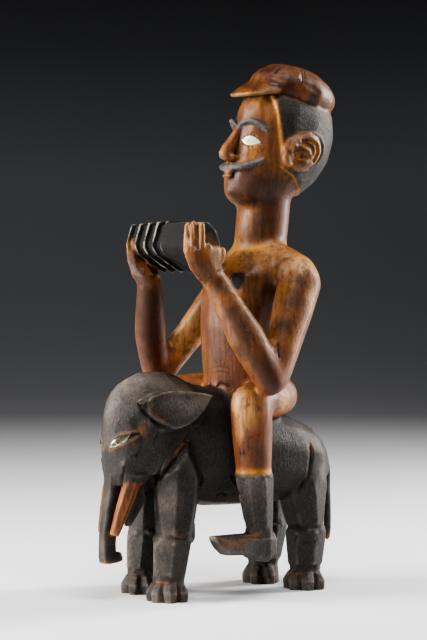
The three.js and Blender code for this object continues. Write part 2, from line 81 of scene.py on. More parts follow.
# Studio: a pale floor that sweeps up into a grey wall all round, and soft lights. The floor's pale middle is
# a painted pool of light, shaded outwards
studioValues = {
    "floorRadius": 4.6, "wallHeight": 3.4, "sweep": 1.6, "sweepSteps": 8, "sides": 64, "roughness": 0.9,
    "lightPoolWithin": 0.3, "farFrom": 4.2, "wallFrom": 4.8,  # where the floor's colours change, from the middle: the painted pool of light fades into painted shade, then the wall's colour begins
    "floorColour": (0.8, 0.8, 0.82), "shadedFarColour": (0.14, 0.146, 0.158), "wallColour": (0.028, 0.029, 0.033),
    "skyColour": (0.95, 0.97, 1.0), "skyStrength": 0.06, "aim": 0.34, "look": "AgX - High Contrast",
}
# Each lamp's direction is an angle round the figure from the camera, to the right; aim is its height
lampValues = [
    {"name": "left", "angle": -80, "away": 2.1, "height": 1.0, "size": (1.3, 1.7), "power": 100,
     "colour": (1, 0.97, 0.93)},
    {"name": "right", "angle": 116, "away": 2.1, "height": 1.0, "size": (0.6, 1.8), "power": 76,
     "colour": (1, 0.98, 0.96)},
    {"name": "above", "angle": 20, "away": 0.7, "height": 2.3, "size": (1.0, 1.0), "power": 30,
     "colour": (1, 1, 1)},
    {"name": "front", "angle": -15, "away": 2.8, "height": 0.8, "size": (0.8, 0.8), "power": 3,
     "colour": (1, 1, 1)},
]


def linked(name, mesh):
    piece = bpy.data.objects.new(name, mesh)
    bpy.context.scene.collection.objects.link(piece)
    return piece


def meshFrom(shape, name):
    mesh = bpy.data.meshes.new(name)
    shape.to_mesh(mesh)
    shape.free()
    return mesh


# Shader sums: a wrapped socket takes + - * with another socket or a number, on either side
class Value:
    def __init__(self, nodes, socket):
        self.nodes, self.socket = nodes, socket

    def sum(self, operation, *others, clamp=False):
        settings = {"operation": operation, "use_clamp": clamp}
        return self.nodes.add("ShaderNodeMath", settings, dict(enumerate((self, *others))))

    def __add__(self, other): return self.sum("ADD", other)
    def __sub__(self, other): return self.sum("SUBTRACT", other)
    def __mul__(self, other): return self.sum("MULTIPLY", other)
    def __radd__(self, other): return self + other
    def __rmul__(self, other): return self * other
    def __rsub__(self, other): return self * -1.0 + other
    def clamp(self): return self.sum("ADD", 0.0, clamp=True)

    def between(self, low, high):  # 0 at low, 1 at high, with soft ends
        values = {"Value": self, "From Min": low, "From Max": high, "To Min": 0.0, "To Max": 1.0}
        return self.nodes.add("ShaderNodeMapRange", {"interpolation_type": "SMOOTHSTEP"}, values)


class Shader:
    def __init__(self, name):
        self.material = bpy.data.materials.new(name)
        self.material.use_nodes = True
        self.tree = self.material.node_tree
        self.tree.nodes.clear()
        self.surface = self.tree.nodes.new("ShaderNodeBsdfPrincipled")
        out = self.tree.nodes.new("ShaderNodeOutputMaterial")
        self.tree.links.new(self.surface.outputs[0], out.inputs["Surface"])

    def put(self, socket, value):
        if isinstance(value, Value):
            self.tree.links.new(value.socket, socket)
        elif isinstance(value, (tuple, list)) and len(value) == 3 and socket.type == "RGBA":
            socket.default_value = (*value, 1.0)
        else:
            socket.default_value = value

    def add(self, kind, settings=None, values=None, out=0):
        node = self.tree.nodes.new(kind)
        for key, setting in (settings or {}).items():
            setattr(node, key, setting)
        for key, value in (values or {}).items():
            self.put(node.inputs[key], value)
        return Value(self, node.outputs[out])

    def attribute(self, name):
        return self.add("ShaderNodeAttribute", {"attribute_name": name}, out="Fac")

    def place(self, stretch=(1, 1, 1)):
        coords = self.add("ShaderNodeTexCoord", out="Object")
        return self.add("ShaderNodeMapping", None, {"Vector": coords, "Scale": stretch})

    def noise(self, size, detail=3.0, roughness=0.5, stretch=(1, 1, 1), distortion=0.0):  # size in mm
        values = {"Vector": self.place(stretch), "Scale": 1 / (size * mm), "Detail": detail}
        values.update({"Roughness": roughness, "Distortion": distortion})
        return self.add("ShaderNodeTexNoise", None, values)

    def mix(self, factor, low, high):  # the low colour at 0, the high one at 1
        node = self.tree.nodes.new("ShaderNodeMix")
        node.data_type = "RGBA"
        for socket, value in ((node.inputs[0], factor), (node.inputs[6], low), (node.inputs[7], high)):
            self.put(socket, value)
        return Value(self, node.outputs[2])

    def bump(self, height, strength, distance, normal=None):
        values = {"Height": height, "Strength": strength, "Distance": distance * mm}
        if normal:
            values["Normal"] = normal
        return self.add("ShaderNodeBump", None, values)

    def finish(self, **values):
        for key, value in values.items():
            self.put(self.surface.inputs[key.replace("_", " ")], value)
        return self.material


def makeStudio(values, lamps):
    profile = bmesh.new()
    radius, sweep, height = values["floorRadius"], values["sweep"], values["wallHeight"]
    points = [(0.0, 0.0), (radius - sweep, 0.0)]
    for step in range(1, values["sweepSteps"] + 1):
        angle = math.radians(90 * step / values["sweepSteps"])
        points.append((radius - sweep + sweep * math.sin(angle), sweep - sweep * math.cos(angle)))
    points.append((radius, height))
    line = [profile.verts.new((x, 0, z)) for x, z in points]
    for low, high in zip(line, line[1:]):
        profile.edges.new((low, high))
    bmesh.ops.spin(profile, geom=profile.verts[:] + profile.edges[:], cent=(0, 0, 0), axis=(0, 0, 1),
                   angle=math.tau, steps=values["sides"], use_merge=True)
    bmesh.ops.remove_doubles(profile, verts=profile.verts, dist=1e-5)
    bmesh.ops.recalc_face_normals(profile, faces=profile.faces)
    floor = linked("studioFloor", meshFrom(profile, "studioFloor"))
    for face in floor.data.polygons:
        face.use_smooth = True
    shader = Shader("studioPaper")
    reach = shader.add("ShaderNodeVectorMath", {"operation": "LENGTH"}, {0: shader.place()}, out="Value")
    lightPoolWithin, farFrom, wallFrom = (values[key] for key in ("lightPoolWithin", "farFrom", "wallFrom"))
    # painted light falloff: pale floor near the figure, painted shade further out
    colour = shader.mix(reach.between(lightPoolWithin, farFrom), values["floorColour"], values["shadedFarColour"])
    colour = shader.mix(reach.between(farFrom, wallFrom), colour, values["wallColour"])
    floor.data.materials.append(shader.finish(Base_Color=colour, Roughness=values["roughness"]))
    world = bpy.data.worlds.new("studioSky")
    world.use_nodes = True
    sky = world.node_tree.nodes["Background"]
    sky.inputs[0].default_value = (*values["skyColour"], 1)
    sky.inputs[1].default_value = values["skyStrength"]
    bpy.context.scene.world = world
    bpy.context.scene.view_settings.look = values["look"]
    for lamp in lamps:
        data = bpy.data.lights.new(lamp["name"], "AREA")
        data.shape, (data.size, data.size_y) = "RECTANGLE", lamp["size"]
        data.energy, data.color = lamp["power"], lamp["colour"]
        light = bpy.data.objects.new(lamp["name"], data)
        angle = math.radians(lamp["angle"] + cameraValues["azimuth"] - 90)
        light.location = (math.cos(angle) * lamp["away"], math.sin(angle) * lamp["away"], lamp["height"])
        direction = Vector((0, 0, values["aim"])) - light.location
        light.rotation_euler = direction.to_track_quat("-Z", "Y").to_euler()
        bpy.context.scene.collection.objects.link(light)


makeStudio(studioValues, lampValues)
print("studio ready")

# The figure's own measures in mm, as drawn: x to its left, y to its back, z up
bodyPlaces = {
    "hip": (44, 58, 242), "knee": (88, -9, 240), "bootTop": (88, -5, 152), "ankle": (88, 3, 80),
    "rightLegForward": 7,
    "leftArm": [
        (78, 69, 385, 26), (107, 24, 315, 22), (119, 2, 260, 17), (93, -25, 326, 22), (67, -50, 388, 15)],
    "rightArm": [
        (-78, 69, 382, 26), (-107, 12, 308, 19), (-119, -16, 261, 17), (-96, -37, 326, 20.5),
        (-70, -57, 384, 15)],
    "headCentre": (0, 94, 542), "headTilt": -15.0,
    "tusk": [(24, -136, 146, 10.5), (20.2, -144.2, 119.6, 10), (14.5, -156.5, 80, 6)],
    "elephantEye": (28, -157, 194),
    # heights, and how far back the rider's hair starts and the elephant's head ends there
    "hairEdge": [(486, 106), (513, 78), (521, 64), (650, 57)],
    "headBack": [(118, -122), (140, -118), (152, -104), (172, -84), (194, -66), (226, -46), (248, -44)],
}
# The long forms: place along, then a centre and a half size for each of the two ways across
torsoForm = [
    (226, 0, 54, 38, 50), (268, 0, 53, 38, 49), (310, 0, 51, 33, 49), (350, 0, 54, 36, 51),
    (385, 0, 62, 44, 50), (412, 0, 58, 57, 42),
]
barrelForm = [
    (-108, 0, 28, 202, 61), (-80, 0, 35, 193, 69), (-45, 0, 49, 184, 74), (-10, 0, 64, 179, 73),
    (35, 0, 66, 170, 64), (80, 0, 65, 163, 57), (113, 0, 61, 159, 47), (135, 0, 45, 151, 32),
]
barrelCorner = 2.3  # 2 is an oval, more is squarer
headTurn = np.array(Matrix.Rotation(math.radians(bodyPlaces["headTilt"]), 3, "X"))


def inHead(points):  # the head's own frame: origin between the ears, z along its tilt
    return (points - np.array(bodyPlaces["headCentre"])) @ headTurn


def mirror(chain):  # the same chain on the figure's other side
    return [(-p[0], *p[1:]) for p in chain]


def capsules(points, chain):  # distance outside a chain of balls (x, y, z, radius)
    best = np.full(len(points), 1e9)
    for (ax, ay, az, ra), (bx, by, bz, rb) in zip(chain, chain[1:]):
        start, run = np.array([ax, ay, az]), np.array([bx - ax, by - ay, bz - az])
        along = np.clip((points - start) @ run / (run @ run), 0, 1)
        gap = np.linalg.norm(points - start - along[:, None] * run, axis=1) - (ra + (rb - ra) * along)
        best = np.minimum(best, gap)
    return best


def outsideForm(points, form, axes, corner=2.2):  # rough distance outside a long form
    along, first, second = points[:, list(axes)].T
    stations = np.array(form, dtype=float)
    centre1, half1, centre2, half2 = (np.interp(along, stations[:, 0], column) for column in stations.T[1:])
    across = np.abs((first - centre1) / half1) ** corner + np.abs((second - centre2) / half2) ** corner
    beyond = np.maximum(stations[0, 0] - along, along - stations[-1, 0]).clip(0)
    return (across ** (1 / corner) - 1) * np.minimum(half1, half2) + beyond


def soft(values, low, high):  # 0 at low, 1 at high, with soft ends
    t = np.clip((values - low) / (high - low), 0, 1)
    return t * t * (3 - 2 * t)


def curveAt(z, curve):  # a measure that changes with the height
    return np.interp(z, *np.array(curve, dtype=float).T)


def within(places, limits):  # the points whose named places all lie between their limits
    chosen = True
    for name, (low, high) in limits.items():
        chosen = chosen & (places[name] > low) & (places[name] < high)
    return chosen


def placesOf(points):  # what the tables of limits below can name
    x, y, z = points.T
    return {"x": x, "y": y, "z": z, "side": np.abs(x)}


stillShare = 0.004  # points that would move by less than this share stay where they are


# A mesh as arrays, in the drawing's millimetres
class Skin:
    def __init__(self, mesh):
        self.mesh = mesh
        count = len(mesh.vertices)
        flat = np.empty(count * 3)
        mesh.vertices.foreach_get("co", flat)
        self.points = flat.reshape(-1, 3) / mm - cadShift
        pairs = np.empty(len(mesh.edges) * 2, dtype=np.int32)
        mesh.edges.foreach_get("vertices", pairs)
        own, other = np.concatenate([pairs.reshape(-1, 2), pairs.reshape(-1, 2)[:, ::-1]]).T
        degree = np.bincount(own, minlength=count)
        order = np.argsort(own, kind="stable")
        own, other = own[order], other[order]
        turn = np.arange(len(own)) - np.repeat(np.cumsum(degree) - degree, degree)
        # layer k holds each point's k-th neighbour
        self.layers = [(own[turn == k], other[turn == k]) for k in range(degree.max())]
        self.degree = degree.clip(1)

    def smoothed(self, values, rounds, share=1.0):  # each moves towards its neighbours' mean, by its share
        values, share = values.copy(), np.broadcast_to(np.ravel(share), len(values))
        moved = share > stillShare
        row = np.cumsum(moved) - 1
        layers = [(row[own[moved[own]]], other[moved[own]]) for own, other in self.layers]
        step = share[moved] / self.degree[moved]
        for _ in range(rounds):
            old = values[moved]
            total = np.zeros_like(old)
            for own, other in layers:
                total[own] += values[other]
            values[moved] = (old.T * (1 - share[moved]) + total.T * step).T
        return values

    def normals(self, rounds=0):
        self.store()
        flat = np.empty(len(self.points) * 3)
        self.mesh.vertices.foreach_get("normal", flat)
        normals = self.smoothed(flat.reshape(-1, 3), rounds)
        return normals / np.linalg.norm(normals, axis=1)[:, None].clip(1e-9)

    def raiseBy(self, heights, normals):
        self.points = self.points + normals * heights[:, None]

    def store(self):
        low, high = (np.array(corner) / mm - cadShift for corner in cadBox)
        self.points = np.clip(self.points, low, high)
        self.mesh.vertices.foreach_set("co", ((self.points + cadShift) * mm).ravel())
        self.mesh.update()

    def paint(self, name, values):
        layer = self.mesh.attributes.get(name) or self.mesh.attributes.new(name, "FLOAT", "POINT")
        layer.data.foreach_set("value", np.clip(values, 0, 1).astype(np.float32))


def applied(piece, name):  # the piece's mesh with its modifiers taken in
    graph = bpy.context.evaluated_depsgraph_get()
    mesh = bpy.data.meshes.new_from_object(piece.evaluated_get(graph))
    mesh.name = name
    old = piece.data
    piece.modifiers.clear()
    piece.data = mesh
    bpy.data.meshes.remove(old)
    return mesh


def treeOf(piece):  # finds where a ray meets the piece
    return BVHTree.FromObject(piece, bpy.context.evaluated_depsgraph_get())


def mergedNode(name):
    shape = bmesh.new()
    shape.from_mesh(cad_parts[name].data)
    bmesh.ops.remove_doubles(shape, verts=shape.verts, dist=1e-6)
    shape.normal_update()
    return shape


# The carving: one block of wood
eyeNodes = ("rider_eye_left", "rider_eye_right", "elephant_eye_left", "elephant_eye_right")
carvingValues = {
    "voxel": 1.4, "faces": 188000,
    "reach": 9.0, "shareRounds": 5, "lastRounds": 10,  # how far the rounding reaches, in mm
    "restoreReach": 8.0, "restores": 3, "refill": -0.4,
    "yokeReach": 12.0, "yokeHeights": (372, 388, 426, 440), "yokeBack": (-4, 8),  # more on the shoulders
    "plugGrow": 0.5, "socketGrow": 0.35, "plateRise": 0.25, "plateReach": 4,
    "regionRounds": 24, "regionEdge": (0.5, 0.8),
}


def carvingBlock(values):
    block = mergedNode("carving")
    for name in eyeNodes:
        plug = mergedNode(name)
        for corner in plug.verts:
            corner.co += corner.normal * values["plugGrow"] * mm
        block.from_mesh(meshFrom(plug, name + "Plug"))
    piece = linked("carvedFigure", meshFrom(block, "carvedFigure"))
    remesh = piece.modifiers.new("grid", "REMESH")
    remesh.mode, remesh.voxel_size = "VOXEL", values["voxel"] * mm
    applied(piece, "carvedFigure")
    return piece


def legChains(side):
    shift = 0 if side > 0 else -bodyPlaces["rightLegForward"]
    hip, knee, top, ankle = (bodyPlaces[key] for key in ("hip", "knee", "bootTop", "ankle"))
    at = lambda p, r, dy=shift: (p[0] * side, p[1] + dy, p[2], r)
    thigh = [at(hip, 27, 0), at(knee, 24)]
    shin = [at(knee, 24), at((88, -6, 190), 24.5), at(top, 21.5)]
    boot = [at(top, 24.5), at((88, -1, 123), 19.5), at(ankle, 17)]
    shoe = [at((88, 12, 62), 17), at((88, -20, 66), 15), at((88, -50, 68), 12), at((88, -62, 75), 8)]
    return thigh, shin, boot, shoe


def bootDistance(points):
    return np.min([capsules(points, chain) for sign in (1, -1) for chain in legChains(sign)[2:]], axis=0)


def legDistance(points):
    return np.min([capsules(points, chain) for sign in (1, -1) for chain in legChains(sign)[:2]], axis=0)


# The rider's brows, nose, lips and moustache in the head's own frame: chains of balls (x, y, z, radius)
browChains = [[(5, -72, 15, 4), (21, -69, 21, 4), (38, -52, 13, 3)]]
noseChains = [[(0, -68, 13, 6), (0, -74, -7, 8), (3, -80, -24, 9), (8, -74, -28, 5)],
              [(0, -70, -44, 5), (9, -70, -46, 5)]]
moustacheChains = [[(1, -73, -38, 4.4), (15, -71, -40, 4.4), (28, -62, -35, 4.2), (38, -49, -25, 2.4)]]

# How far each part is rounded over, between limits of where it lies: 1 is well polished, near 0 keeps the
# blade's edges. A later row wins
roundingRows = {
    "haunch": (0.12, {"z": (-far, 176), "y": (60, far), "side": (-far, 76)}),
    "elephantFace": (0.035, {"y": (-far, -112)}),
    "elephantHead": (0.035, {"behind": (-far, 5), "z": (118, 246), "side": (-far, 58)}),
    "elephantLegs": (0.015, {"z": (-far, 122), "side": (-far, 66)}),
    "toes": (0.012, {"z": (-far, 30)}),
    "boots": (0.012, {"bootGap": (-far, 11), "z": (-far, 155), "side": (62, far)}),
    "face": (0.5, {"z": (470, far), "headY": (-far, -30), "headZ": (-far, 50)}),
    "faceMarks": (0.02, {"faceGap": (-far, 4), "z": (470, far), "headY": (-far, -30), "headZ": (-far, 50)}),
    "cap": (0.12, {"headZ": (56, far), "z": (570, far)}),
    "hairline": (0.012, {"hairGap": (-7, 7), "z": (484, 601)}),
    "capEdge": (0.012, {"headZ": (55, 63), "z": (560, far)}),
    "visor": (0.02, {"headY": (-far, -44), "headZ": (38, 90)}),
    "riderEar": (0.08, {"z": (508, 576), "side": (38, far), "y": (56, 124)}),
    "earLeaf": (0.012, {"z": (202, 256), "side": (42, far), "y": (-142, -40)}),
    "trunk": (0.012, {"y": (-far, -112), "z": (-far, 152)}),
    "tail": (0.03, {"y": (152, far), "z": (-far, 180)}),
    "hands": (0.05, {"z": (384, far), "y": (-far, -28)}),
    "squeezebox": (0.006, {"z": (386, far), "y": (-far, -28), "x": (-88, 50)}),
}


def facePoints(points):  # both halves of the head laid on the left one
    head = inHead(points)
    return np.stack([np.abs(head[:, 0]), head[:, 1], head[:, 2]], 1)


def markDistance(points, more=()):  # distance from the brows and the moustache, and from more chains
    head = facePoints(points)
    return np.min([capsules(head, chain) for chain in [*browChains, *moustacheChains, *more]], axis=0)


def roundingShare(points):  # each point's share, from the rows above
    places = placesOf(points)
    z, y = places["z"], places["y"]
    _, places["headY"], places["headZ"] = inHead(points).T
    places["behind"] = y - curveAt(z, bodyPlaces["headBack"])
    places["hairGap"] = y - curveAt(z, bodyPlaces["hairEdge"])
    places["bootGap"], places["faceGap"] = bootDistance(points), markDistance(points, noseChains)
    shares = np.full(len(points), 1.0)
    for share, limits in roundingRows.values():
        shares[within(places, limits)] = share
    return shares


def roundsFor(reach, values):  # neighbour averages that spread over a reach in mm
    return int(2 * (reach / values["voxel"]) ** 2)


def rounded(skin, values):
    start = skin.points.copy()
    share = skin.smoothed(roundingShare(start), values["shareRounds"])[:, None]
    skin.points = skin.smoothed(skin.points, roundsFor(values["reach"], values), share)
    low, lowFull, highFull, high = values["yokeHeights"]
    yoke = soft(start[:, 2], low, lowFull) * (1 - soft(start[:, 2], highFull, high))
    yoke = yoke * soft(start[:, 1], *values["yokeBack"])
    skin.points = skin.smoothed(skin.points, roundsFor(values["yokeReach"], values), yoke[:, None])
    for _ in range(values["restores"]):  # gives back the bulk that smoothing takes from the ends
        normals = skin.normals(4)
        lost = ((start - skin.points) * normals).sum(1).clip(values["refill"], None)
        skin.raiseBy(skin.smoothed(lost, roundsFor(values["restoreReach"], values)), normals)
    skin.points = skin.smoothed(skin.points, values["lastRounds"], share ** 2)


# Adze flats on the elephant's head and the rider's hair: cells round their seeds, each planed up to the
# ridges where two planes meet
adzeValues = {
    "stretch": (1, 1, 0.8), "turnWeight": 6, "alike": 0.15,
    "headDepth": 2.4, "hairDepth": 1.6, "hairSize": 17, "hairSeed": 13,
}
# The elephant's head: the pixel in the middle of each flat seen in the photograph
headFlats = [
    (118.4, 387.5), (115.4, 401), (117, 419), (124.4, 410), (104.2, 427.9), (112.5, 460.8), (106.5, 475.8),
    (136.4, 421.9), (149.9, 448.8), (134.9, 466.8), (160.4, 435.4), (173.8, 442.8), (139.4, 381.5),
    (160.4, 383), (179.8, 386), (128, 396),
]
# Long flats down the legs and boots: a middle line (x, y, z), the heights they run between and over how many
# mm they fade out at the top, and where each flat faces, in degrees
flatValues = [
    {"line": [(36, -82, 160), (38, -89, 76), (38, -94.5, 27)], "levels": [(28, 75, 5), (77, 158, 22)],
     "faces": [4, 64, 124, 184, 244, 304]},
    {"line": [(-36, -74, 160), (-38, -80, 76), (-38, -86, 27)], "levels": [(28, 75, 5), (77, 150, 22)],
     "faces": [-10, 50, 110, 170, 230, 290]},
    {"line": [(40, 104, 160), (38, 105, 76), (37, 104, 27)], "levels": [(28, 75, 5), (77, 146, 22)],
     "faces": [-32, 24, 84, 144, 204, 272]},
    {"line": [(-40, 97, 160), (-38, 97, 76), (-37, 90, 27)], "levels": [(28, 75, 5), (77, 146, 22)],
     "faces": [-28, 32, 92, 152, 212, 272]},
    {"line": [(88, -5, 152), (88, 3, 84)], "levels": [(84, 151, 5)],
     "faces": [-22, 30, 81, 132, 184, 235, 287]},
    {"line": [(-88, -12, 152), (-88, -4, 84)], "levels": [(84, 151, 5)],
     "faces": [202, 150, 99, 48, -4, -55, -107]},
]
flatLimits = {"reach": 36, "depth": 2.6, "lean": 0.6, "turn": 75, "bottomFade": 5}


def above(points, normals, middle, facing):  # how far a point must rise to reach a plane
    return ((middle - points) * facing).sum(-1) / (normals * facing).sum(-1).clip(0.5)


def planeFlats(skin, limits):  # each flat is a plane, cut down to where it meets the next one
    normals = skin.normals(3)
    heights = np.zeros(len(skin.points))
    z = skin.points[:, 2]
    for leg in flatValues:
        line = np.array(leg["line"], dtype=float)[::-1]
        away = skin.points[:, :2] - np.stack([np.interp(z, line[:, 2], line[:, k]) for k in (0, 1)], 1)
        angle = np.degrees(np.arctan2(away[:, 1], away[:, 0]))
        upright = (np.hypot(*away.T) < limits["reach"]) & (np.abs(normals[:, 2]) < limits["lean"])
        for low, high, fade in leg["levels"]:
            chosen = np.flatnonzero(upright & (z > low) & (z < high))
            points, facing = skin.points[chosen], normals[chosen]
            turns = np.abs((angle[chosen][:, None] - np.array(leg["faces"]) + 180) % 360 - 180)
            owner = turns.argmin(1)
            rise = np.full(len(chosen), far)
            for k in range(len(leg["faces"])):
                own = owner == k
                if own.any():
                    plane = facing[own].mean(0)
                    lift = above(points, facing, points[own].mean(0), plane / np.linalg.norm(plane))
                    rise = np.where(turns[:, k] < limits["turn"], np.minimum(rise, lift), rise)
            ends = soft(z[chosen], low, low + limits["bottomFade"]) * (1 - soft(z[chosen], high - fade, high))
            heights[chosen] = np.where(rise == far, 0, rise).clip(-limits["depth"], limits["depth"]) * ends
    skin.raiseBy(skin.smoothed(heights, 1), normals)


def strewn(points, normals, size, seed, gridSize):  # seeds laid at random, about one for each size x size
    rng = np.random.default_rng(seed)
    picked = rng.choice(len(points), max(8, int(len(points) * (gridSize / size) ** 2)), replace=False)
    return points[picked], normals[picked]


def adze(skin, weight, seeds, values, depth):  # seeds: a function of the region's points and normals
    chosen = np.flatnonzero(weight > 0.02)
    away = skin.normals(2)
    points, normals = skin.points[chosen], away[chosen]
    places, out = seeds(points, normals)
    stretch, turnWeight = np.array(values["stretch"]), values["turnWeight"]
    count = len(places)
    tree = KDTree(count)
    for index, place in enumerate(places * stretch + out * turnWeight):
        tree.insert(place, index)
    tree.balance()
    spots = (points * stretch + normals * turnWeight).tolist()
    near = np.array([[found[1] for found in tree.find_n(spot, 3)] for spot in spots])
    cell = near[:, 0]
    size = np.bincount(cell, minlength=count).clip(1)[:, None]
    middle = np.stack([np.bincount(cell, column, count) for column in points.T], 1) / size
    facing = np.stack([np.bincount(cell, column, count) for column in normals.T], 1)
    facing /= np.linalg.norm(facing, axis=1)[:, None].clip(1e-9)
    height = above(points, normals, middle[cell], facing[cell])
    for other in near.T[1:]:
        bend = ((middle[other] - middle[cell]) * (facing[other] - facing[cell])).sum(1)
        alike = (facing[other] * facing[cell]).sum(1) > values["alike"]
        rival = np.where(alike, above(points, normals, middle[other], facing[other]), height)
        height = np.where(bend > 0, np.minimum(height, rival), np.maximum(height, rival))
    heights = np.zeros(len(skin.points))
    heights[chosen] = height.clip(-depth, depth) * weight[chosen]
    skin.raiseBy(heights, away)


# Who owns a point of the surface: the form it lies nearest to. The elephant has what is in one of its rows
# and in none of the rider's
beastRows = [{"lead": (0, far)}, {"y": (-far, -60)}, {"z": (-far, 236), "side": (-far, 62)},
             {"z": (-far, 106), "side": (-far, 66)}]
riderRows = [{"z": (276, far)}, {"z": (-far, 153), "bootGap": (-far, 5), "side": (66, far)},
             {"z": (156, far), "legGap": (-far, 2), "side": (62, far), "y": (-40, far)},
             {"z": (234, far), "rightArmGap": (-far, 4)}]
visorShape = {
    "middle": (0, -52, 63), "turn": 0.35, "halfThick": 6.5, "half": (41, 36), "over": 1.08, "front": -40,
}
ownLimits = {
    "bootTop": 152.5, "bootSide": 60, "tuskTop": 143, "tuskGap": 1.4, "hairLow": 484, "hairFront": 40,
    "noHair": -50, "capLow": 560, "capEdge": 57.5,
}


def parts(points):  # masks of the whole surface, and how far each point is behind the hair's edge
    places = placesOf(points)
    _, y, z, side = places.values()
    _, headY, headZ = inHead(points).T
    places["bootGap"], places["legGap"] = bootDistance(points), legDistance(points)
    places["rightArmGap"] = capsules(points, bodyPlaces["rightArm"])
    riderGap = np.minimum(places["legGap"], places["bootGap"])
    riderGap = np.minimum(outsideForm(points, torsoForm, (2, 0, 1)), riderGap)
    places["lead"] = riderGap - outsideForm(points, barrelForm, (1, 0, 2), barrelCorner)
    beast = np.any([within(places, row) for row in beastRows], axis=0)
    beast &= ~np.any([within(places, row) for row in riderRows], axis=0)
    tusks = (bodyPlaces["tusk"], mirror(bodyPlaces["tusk"]))
    tuskGap = np.min([capsules(points, chain) for chain in tusks], axis=0)
    visor = inHead(points) - np.array(visorShape["middle"])
    visor = visor @ np.array(Matrix.Rotation(visorShape["turn"], 3, "X"))
    across = np.hypot(visor[:, 0] / visorShape["half"][0], visor[:, 1] / visorShape["half"][1])
    inVisor = (np.abs(visor[:, 2]) < visorShape["halfThick"]) & (across < visorShape["over"])
    haired = (z > ownLimits["hairLow"]) & (y > ownLimits["hairFront"])
    hairDepth = y - curveAt(z, bodyPlaces["hairEdge"])
    inCap = (z > ownLimits["capLow"]) & (headZ > ownLimits["capEdge"])
    return {
        "beast": beast,
        "boots": ~beast & (z < ownLimits["bootTop"]) & (side > ownLimits["bootSide"]),
        "tusk": beast & (tuskGap < ownLimits["tuskGap"]) & (z < ownLimits["tuskTop"]),
        "backOfHair": np.where(haired, hairDepth, ownLimits["noHair"]),
        "cap": inCap | inVisor & (headY < visorShape["front"]),
    }


# Hands: each finger's place, root and tip heights, and each slice of a palm from front to back
fingerPlaces = [
    (80, -66, 418, 428), (79, -74.5, 418, 452), (72.5, -81.5, 418, 453), (63, -84, 418, 451),
    (-94, -68, 422, 445), (-94, -59, 422, 447), (-94, -50, 422, 447), (-94, -41, 422, 445),
]
palmSlices = [
    (67, -51, -49, 386, 15.5), (73, -69, -55, 401, 14.5), (75, -83, -53, 415, 12.5), (75, -85, -53, 424, 10),
    (-70, -58, -56, 382, 16), (-82, -66, -56, 398, 15), (-88, -70, -50, 414, 11), (-90, -70, -48, 426, 9),
]
thumbs = [[(76, -47, 406, 7), (76, -42, 422, 6.5)], [(-78, -42, 404, 7), (-82, -37, 438, 6.5)]]


def handDistance(points):
    chains = [[(x, y, root, 5.8), (x - 1, y + 1, tip, 5)] for x, y, root, tip in fingerPlaces]
    chains += [[(x, front, z, radius), (x, back, z, radius)] for x, front, back, z, radius in palmSlices]
    return np.min([capsules(points, chain) for chain in chains + thumbs], axis=0)


# Marks seen in the photograph, as pixel paths: width and depth in mm, less than 0 for a ridge
markValues = {
    "capCrease": {"path": [(305, 84), (312, 88), (318, 92)], "width": 3.5, "depth": 0.7},
    "waistNotchFront": {"path": [(207, 386), (209, 382.5), (211, 386)], "width": 1.6, "depth": 1.6},
    "waistNotchMiddle": {"path": [(217, 386), (220, 383.5), (224, 384.5), (229, 387)],
     "width": 1.6, "depth": 1.6},
    "waistNotchRear": {"path": [(231, 389), (236, 391)], "width": 1.6, "depth": 1.4},
    "crownSeam": {"path": [(249.9, 79.5), (260, 81), (270, 83.5), (280, 87)], "width": 1.6, "depth": 1.2},
    "waistWrinkleHigh": {"path": [(212, 368), (222, 367.5), (231, 369)], "width": 1.6, "depth": 0.3},
    "waistWrinkleLow": {"path": [(210, 374), (221, 372), (230, 374)], "width": 1.6, "depth": 0.3},
    "forearmNick": {"path": [(245, 326), (247, 329)], "width": 1.6, "depth": 1.0},
    "rightForearmNick": {"path": [(158, 310), (161, 308)], "width": 1.4, "depth": 0.8},
    "bellyGashLong": {"path": [(217, 495), (222, 493.5), (226, 495)], "width": 2.2, "depth": 2.4},
    "bellyGashShort": {"path": [(234, 494), (239, 493)], "width": 2.0, "depth": 2.0},
    "kneeGougeUpper": {"path": [(279, 395), (283, 399)], "width": 1.8, "depth": 0.8},
    "kneeGougeLower": {"path": [(281, 403), (286, 408)], "width": 1.8, "depth": 0.8},
    "elbowCrease": {"path": [(278, 344), (279, 351), (279.5, 357)], "width": 2.4, "depth": 1.6},
    "deltoidEdge": {"path": [(293, 254), (283, 259), (277.5, 267), (276, 280), (276, 300), (275.5, 325)],
     "width": 2.6, "depth": 1.5},
    "wristCreaseLeft": {"path": [(206, 284), (211, 277), (219, 271)], "width": 1.8, "depth": 0.9},
    "wristCreaseRight": {"path": [(137, 283), (142, 286), (149, 287)], "width": 1.8, "depth": 0.7},
    "fingerGapFirst": {"path": [(187.6, 226), (188.6, 236), (189.4, 251)], "width": 1.5, "depth": 1.2},
    "fingerGapSecond": {"path": [(192, 224.5), (193, 236), (193.8, 250)], "width": 1.5, "depth": 1.4},
    "fingerGapThird": {"path": [(198, 225), (198.4, 236), (198.6, 248)], "width": 1.5, "depth": 1.4},
}
